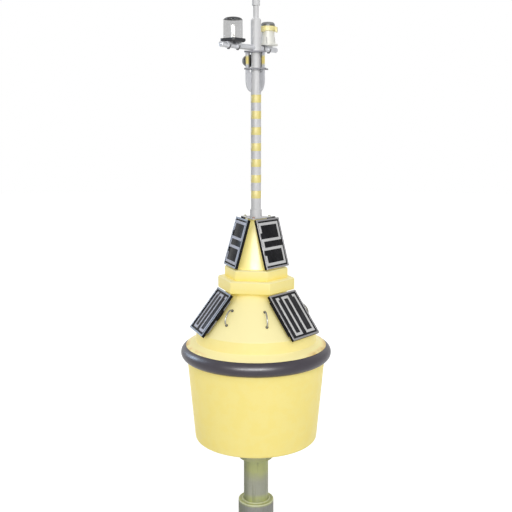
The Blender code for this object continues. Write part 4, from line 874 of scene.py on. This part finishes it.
def build_mast():
    outline = corner_plate((0, 120, 240), PLATE_REACH, PLATE_CORNER_R)
    plate = flat_plate(outline, SLEEVE_R + SEAT, PLATE_THICKNESS)
    piece("foot_plate", plate, "mast_grey", "mast_base_plate", (0, 0, MAST_FOOT_Z))
    for number, (azimuth, paint) in enumerate(BOLTS, 1):
        piece(f"foot_bolt_{number}", bolt(BOLT_R, BOLT_HEIGHT), "mast_grey", None,
              outwards(azimuth, BOLT_OUT, MAST_FOOT_Z + PLATE_THICKNESS), paints=(paint,))
    sleeve = tube(MAST_BORE, SLEEVE_R, MAST_FOOT_Z, SLEEVE_TOP_Z, 0.001, 0.004)
    piece("sleeve", sleeve, "mast_grey", "mast_sleeve")
    mast = [(MAST_R, MAST_FOOT_Z, 0), (MAST_R, MAST_TOP_Z - MAST_CROWN, 0.006),
            (MAST_R - MAST_CROWN_INSET, MAST_TOP_Z, 0.003)]
    piece("mast", turned_body(mast, MID_STEPS), "mast_grey", "mast_tube")
    band = mesh_of("tape_band", tube(MAST_BORE, BAND_R, 0, BAND_HEIGHT, 0.0005, 0.0005, 2), "band_yellow")
    for number in range(BAND_COUNT):
        place(f"tape_band_{number + 1}", band, "band_yellow", (f"mast_band_{number + 1}",),
              (0, 0, BAND_FIRST_Z + number * BAND_PITCH))


def build_cage():
    for end, z, ear in (("low", CAGE_LOW_Z, CAGE_EAR), ("high", CAGE_HIGH_Z, None)):
        outline = corner_plate(PANEL_AZIMUTHS, CAGE_REACH, CAGE_CORNER_R, ear)
        piece("guard_plate_" + end, flat_plate(outline, MAST_BORE, CAGE_PLATE), "mast_grey",
              "cage_plate_" + end, (0, 0, z), paints=("plate_grey",))
    rib_top = CAGE_HIGH_Z - SEAT
    curve = arc((MAST_BORE, RIB_BEND_Z), RIB_OUTER - MAST_BORE, RIB_BEND_Z - RIB_FOOT_Z, 0, -90, 24)
    outline = [(RIB_OUTER, rib_top)] + curve + [(MAST_BORE, RIB_GAP_Z),
                                                (RIB_INNER, RIB_GAP_Z + RIB_INNER - MAST_BORE),
                                                (RIB_INNER, rib_top)]
    rib = mesh_of("guard_rib", bevel(slab(outline, RIB_THICKNESS / 2), 0.003, angle=40.0), "rib_grey")
    for number, azimuth in enumerate(PANEL_AZIMUTHS, 1):
        place(f"guard_rib_{number}", rib, "mast_grey", (f"cage_rib_{number}",),
              rotation=upright(azimuth - 90))
    body = drum(GUARD_BODY_R, GUARD_BODY_LENGTH, 0.003, 0.005, MID_STEPS)
    dome = lathe([(0, 0)] + arc((0, 0), GUARD_DOME_R, GUARD_DOME_LENGTH, 0, 90, 20), MID_STEPS)
    dome_out = MAST_BORE + GUARD_BODY_LENGTH + SEAT
    turn = upright(GUARD_AZIMUTH)
    piece("guard_lamp_body", body, "dark_plastic", "guard_sensor_body",
          outwards(GUARD_AZIMUTH, MAST_BORE, CAGE_MIDDLE_Z), turn)
    piece("guard_lamp_dome", dome, "dome_grey", "guard_sensor_dome",
          outwards(GUARD_AZIMUTH, dome_out, CAGE_MIDDLE_Z), turn, ("dome_pale",))


# Crossarm, lantern, sensor and antenna

def build_arm():
    turn = upright(ARM_AZIMUTH)
    shoulder = ARM_LONG - ARM_PLUG_LENGTH
    arm = [(ARM_R, -ARM_SHORT, 0.008), (ARM_R, shoulder, 0.008), (ARM_PLUG_R, shoulder, 0.001),
           (ARM_PLUG_R, ARM_LONG, 0.004)]
    piece("arm_tube", turned_body(arm, FINE_STEPS), "arm_grey", "crossarm", (0, 0, ARM_Z), turn)
    for number, (out, seat, width, has_lug) in enumerate(CLAMPS, 1):
        flat = [(CLAMP_SEAT_HALF, ARM_R + seat), (-CLAMP_SEAT_HALF, ARM_R + seat)]
        outline = flat + arc((0, 0), CLAMP_R, CLAMP_R, 180, 360, 40)
        clamp = bevel(slab(outline, width / 2), 0.001, 2, angle=35.0)
        # A dark lug, and a dark band round the clamp's lower half that is painted shade.
        if has_lug:
            neck = [(SHOE_R, SHOE_NECK), (-SHOE_R, SHOE_NECK)]
            lug = slab(neck + arc((0, -CLAMP_R), SHOE_R, SHOE_R, 180, 360, 20), SHOE_HALF)
            shade_band_r = CLAMP_R + SHADE_BAND_STAND
            shade_band = bevel(slab(arc((0, 0), shade_band_r, shade_band_r, 175, 365, 40), SHADE_BAND_HALF), 0.0004, 1, angle=35.0)
            clamp = joined(clamp, in_second(bevel(lug, 0.002, 2, angle=35.0)), in_second(shade_band))
        else:
            # A clamp without a lug lies in the shade of the sensor's foot and is painted all in shade.
            in_second(clamp)
        piece(f"clamp_{number}", clamp, "arm_grey", f"arm_clamp_{number}", outwards(ARM_AZIMUTH, out, ARM_Z),
              turn, ("arm_grey", "seam_dark"))


def build_lantern():
    full = rounded_square(LANTERN_BASE_HALF, LANTERN_CORNER)
    small = rounded_square(LANTERN_BASE_HALF - LANTERN_BEVEL, LANTERN_CORNER - LANTERN_BEVEL / 2)
    base = bevel(loft([(small, 0), (full, LANTERN_BEVEL), (full, LANTERN_BASE)]), 0.003)
    piece("lantern_foot", base, "dark_plastic", "lantern_base", outwards(ARM_AZIMUTH, LANTERN_OUT, LANTERN_Z),
          (0, 0, math.radians(ARM_AZIMUTH)))
    wall = tube(LANTERN_R - LANTERN_WALL, LANTERN_R, 0, LANTERN_HEIGHT, 0.001, 0.004)
    glass_z = LANTERN_Z + LANTERN_BASE + SEAT
    glass_at = outwards(ARM_AZIMUTH, LANTERN_OUT, glass_z)
    piece("lantern_lens", wall, "lantern_glass", "lantern_glass", glass_at)
    lamp = [(0, 0), (LAMP_R, 0)]
    for ring in range(GROOVE_COUNT):
        for step, radius in enumerate((LAMP_R, LAMP_GROOVE_R, LAMP_GROOVE_R, LAMP_R)):
            lamp.append((radius, GROOVE_FIRST + ring * GROOVE_PITCH + step * GROOVE_STEP))
    lamp += arc((0, LAMP_HEIGHT - LAMP_CROWN), LAMP_R, LAMP_CROWN, 0, 90, 8)
    piece("lamp_column", lathe(lamp, FINE_STEPS), "lamp_white", "lantern_lamp", glass_at)
    lid = lathe([(0, 0)] + arc((0, 0), LID_R, LID_HEIGHT, 0, 90, 16), MID_STEPS)
    piece("lantern_lid", lid, "dark_plastic", "lantern_cap",
          outwards(ARM_AZIMUTH, LANTERN_OUT, glass_z + LANTERN_HEIGHT + SEAT))


def build_sensor():
    centre = outwards(ARM_AZIMUTH, -SENSOR_OUT, SENSOR_Z)
    levels = ((SENSOR_CHAMFER, 0), (0, SENSOR_CHAMFER), (0, SENSOR_FOOT - SENSOR_CHAMFER),
              (SENSOR_CHAMFER, SENSOR_FOOT))
    foot = loft([(rounded_square(SENSOR_FOOT_HALF - inset, SENSOR_CORNER - inset), z) for inset, z in levels])
    housing = turned_body([(SENSOR_LOW_R, SENSOR_SUNK, 0), (SENSOR_LOW_R, SENSOR_FOOT, 0.004),
                           (SENSOR_HIGH_R, SENSOR_TOP, 0)], MID_STEPS)
    parts = [(foot, Matrix.Rotation(math.radians(ARM_AZIMUTH), 4, "Z")), housing]
    fin_top = SENSOR_FOOT + FIN_HEIGHT
    for azimuth in FIN_AZIMUTHS:
        # A thin dark strip in the second paint just beside each fin: painted shade.
        fin_shade = [(FIN_INNER, FIN_SHADE_LOW[1]), FIN_SHADE_LOW, FIN_SHADE_HIGH, (FIN_INNER, FIN_SHADE_HIGH[1])]
        parts.append((in_second(slab(fin_shade, FIN_SHADE_HALF)), turned(azimuth - FIN_SHADE_TURN)))
        fin = rounded([(FIN_INNER, SENSOR_SUNK, 0), (FIN_REACH, SENSOR_SUNK, 0),
                       (FIN_REACH, SENSOR_FOOT, 0.001), (SENSOR_HIGH_R, fin_top, 0.010),
                       (FIN_INNER, fin_top, 0)])
        parts.append((bevel(slab(fin, FIN_HALF), 0.002, 2), turned(azimuth)))
    piece("sensor_housing", joined(*parts), "sensor_white", "sensor_body", centre,
          paints=("sensor_white", "rail_grey"))
    ring_at = centre + Vector((0, 0, SENSOR_TOP + SEAT))
    parts = [drum(RING_R, RING_HEIGHT, 0.003, 0.004, MID_STEPS)]
    for azimuth in LUG_AZIMUTHS:
        lug = [(LUG_INNER, LUG_LOW), (LUG_OUTER, LUG_LOW), (LUG_OUTER, LUG_HIGH), (LUG_INNER, LUG_HIGH)]
        parts.append((bevel(slab(lug, LUG_HALF), 0.003), turned(azimuth)))
    piece("sensor_collar", joined(*parts), "sensor_ring", "sensor_ring", ring_at)
    window = rounded([(0, 0, 0), (WINDOW_R, 0, 0), (WINDOW_R, WINDOW_EDGE, 0.034), (0, WINDOW_HEIGHT, 0)], 12)
    piece("sensor_window", lathe(window, MID_STEPS), "dome_grey", "sensor_dome",
          ring_at + Vector((0, 0, RING_HEIGHT + SEAT)))


def build_antenna():
    neck_z = MAST_TOP_Z + SEAT
    neck = drum(NECK_R, NECK_HEIGHT, 0, 0.002, FINE_STEPS)
    piece("aerial_neck", neck, "mast_grey", "antenna_neck", (0, 0, neck_z))
    body = drum(AERIAL_R, AERIAL_HEIGHT, 0.003, 0.020, FINE_STEPS)
    piece("aerial_body", body, "mast_grey", "antenna_body", (0, 0, neck_z + NECK_HEIGHT + SEAT))


# Tail

def build_tail():
    boss_low = TAIL_TOP_Z - TAIL_BOSS
    pipe = [(TAIL_BOSS_R, TAIL_TOP_Z, 0.002), (TAIL_BOSS_R, boss_low, 0.004), (TAIL_R, boss_low, 0.004),
            (TAIL_R, TAIL_BOTTOM_Z, 0.001)]
    piece("tail_pipe", turned_body(pipe, MID_STEPS), "tail_steel", "tail_tube")
    inner, outer, rim = TAIL_R + SEAT, TAIL_R + SEAT + SOCKET_WALL, BALLAST_TOP_Z + SOCKET_HEIGHT
    ballast = [(BALLAST_R, BALLAST_BOTTOM_Z, 0.012), (BALLAST_R, BALLAST_TOP_Z, 0.012),
               (outer, BALLAST_TOP_Z, 0.002), (outer, rim, 0.003), (inner, rim, 0.001),
               (inner, BALLAST_TOP_Z, 0)]
    piece("ballast", turned_body(ballast, MID_STEPS), "cast_iron", "ballast_weight")
    piece("shackle_eye", pierced_eye(), "cast_iron", "mooring_eye", (0, 0, EYE_TOP_Z), upright(0))


def pierced_eye():
    """A plate with a round end, its bore cut by a boolean."""
    outline = [(EYE_ROOT_HALF, 0)] + arc((0, -EYE_DROP), EYE_R, EYE_R, 0, -180, 32) + [(-EYE_ROOT_HALF, 0)]
    eye = linked("eye_blank", mesh_of("eye_blank", slab(outline, EYE_HALF), "cast_iron"))
    low, high = -0.05, 0.05
    rod = lathe([(0, low), (EYE_BORE_R, low), (EYE_BORE_R, high), (0, high)], 48)
    hole = linked("eye_hole", mesh_of("eye_hole", rod, "cast_iron"), (0, -EYE_DROP, 0))
    cut = eye.modifiers.new("hole", "BOOLEAN")
    cut.object = hole
    cut.solver = "EXACT"
    bpy.context.view_layer.update()
    cut_mesh = bpy.data.meshes.new_from_object(eye.evaluated_get(bpy.context.evaluated_depsgraph_get()))
    for each in (eye, hole):
        bpy.data.objects.remove(each, do_unlink=True)
    bm = bmesh.new()
    bm.from_mesh(cut_mesh)
    return bevel(bm, 0.004, angle=40.0)


# Stage, light and camera

def build_stage():
    bm = bmesh.new()
    bmesh.ops.create_circle(bm, cap_ends=True, radius=FLOOR_R, segments=96)
    mesh = baked("floor", bm)
    floor = linked("floor", mesh, (0, 0, FLOOR_Z))
    paint = bpy.data.materials.new("floor")
    tree = Tree(paint)
    tree.nodes.clear()
    grain = tree.add("TexNoise", "Fac", {"Scale": 2.0})
    tone = tree.add("MapRange", "Result", {"Value": grain, "To Min": 0.80, "To Max": 0.82})
    matt = tree.add("BsdfDiffuse", 0, {"Color": tone})
    glow = tree.add("Emission", 0, {"Strength": tree.times(tree.seen(), 0.55)})
    tree.show("Material", tree.add("AddShader", 0, {0: matt, 1: glow}))
    mesh.materials.append(paint)


def build_world():
    world = bpy.data.worlds.new("studio")
    bpy.context.scene.world = world
    tree = Tree(world)
    tree.nodes.clear()
    strength = tree.add("MapRange", "Result", {"Value": tree.seen(), "To Min": WORLD_LEVEL, "To Max": 1.0})
    tree.show("World", tree.add("Background", 0, {"Color": (1, 1, 1), "Strength": strength}))


def build_lamps():
    """Soft boxes round the buoy."""
    for name, azimuth, distance, height, size, power, colour, diffuse in LAMPS:
        data = bpy.data.lights.new(name, "AREA")
        data.shape = "RECTANGLE"
        data.size, data.size_y = size
        data.energy = power
        data.color = colour
        spot = outwards(azimuth + CAMERA_AZIMUTH, distance, height)
        turn = (Vector((0, 0, LAMP_AIM_Z)) - spot).to_track_quat("-Z", "Y").to_euler()
        lamp = linked(name, data, spot, turn)
        lamp.visible_diffuse = diffuse


def build_cards():
    """Dark cards that keep the world's light off the grey tubes' flanks; only diffuse rays meet them."""
    for name, azimuth, out, width, low, high in CARDS:
        bm = bmesh.new()
        corners = ((-width / 2, low, 0), (width / 2, low, 0), (width / 2, high, 0), (-width / 2, high, 0))
        bm.faces.new([bm.verts.new(corner) for corner in corners])
        mesh = baked(name, bm)
        mesh.materials.append(MATERIALS["frame_black"])
        side = azimuth + CAMERA_AZIMUTH
        flag = linked(name, mesh, outwards(side, out), upright(side))
        flag.visible_camera = flag.visible_glossy = flag.visible_transmission = flag.visible_shadow = False


def build_camera():
    data = bpy.data.cameras.new("camera")
    data.lens = CAMERA_LENS
    data.sensor_width = CAMERA_SENSOR
    flat = CAMERA_DISTANCE * math.cos(CAMERA_PITCH)
    up = CAMERA_AIM_Z + CAMERA_DISTANCE * math.sin(CAMERA_PITCH)
    turn = (math.pi / 2 - CAMERA_PITCH, 0, math.radians(CAMERA_AZIMUTH))
    camera = linked("camera", data, outwards(CAMERA_AZIMUTH, flat, up), turn)
    bpy.context.scene.camera = camera


build_paints()
build_float()
build_panels()
build_side_rails()
build_handles()
build_mast()
build_cage()
build_arm()
build_lantern()
build_sensor()
build_antenna()
build_tail()
build_stage()
build_world()
build_lamps()
build_cards()
build_camera()
bpy.context.scene.view_settings.view_transform = "Standard"
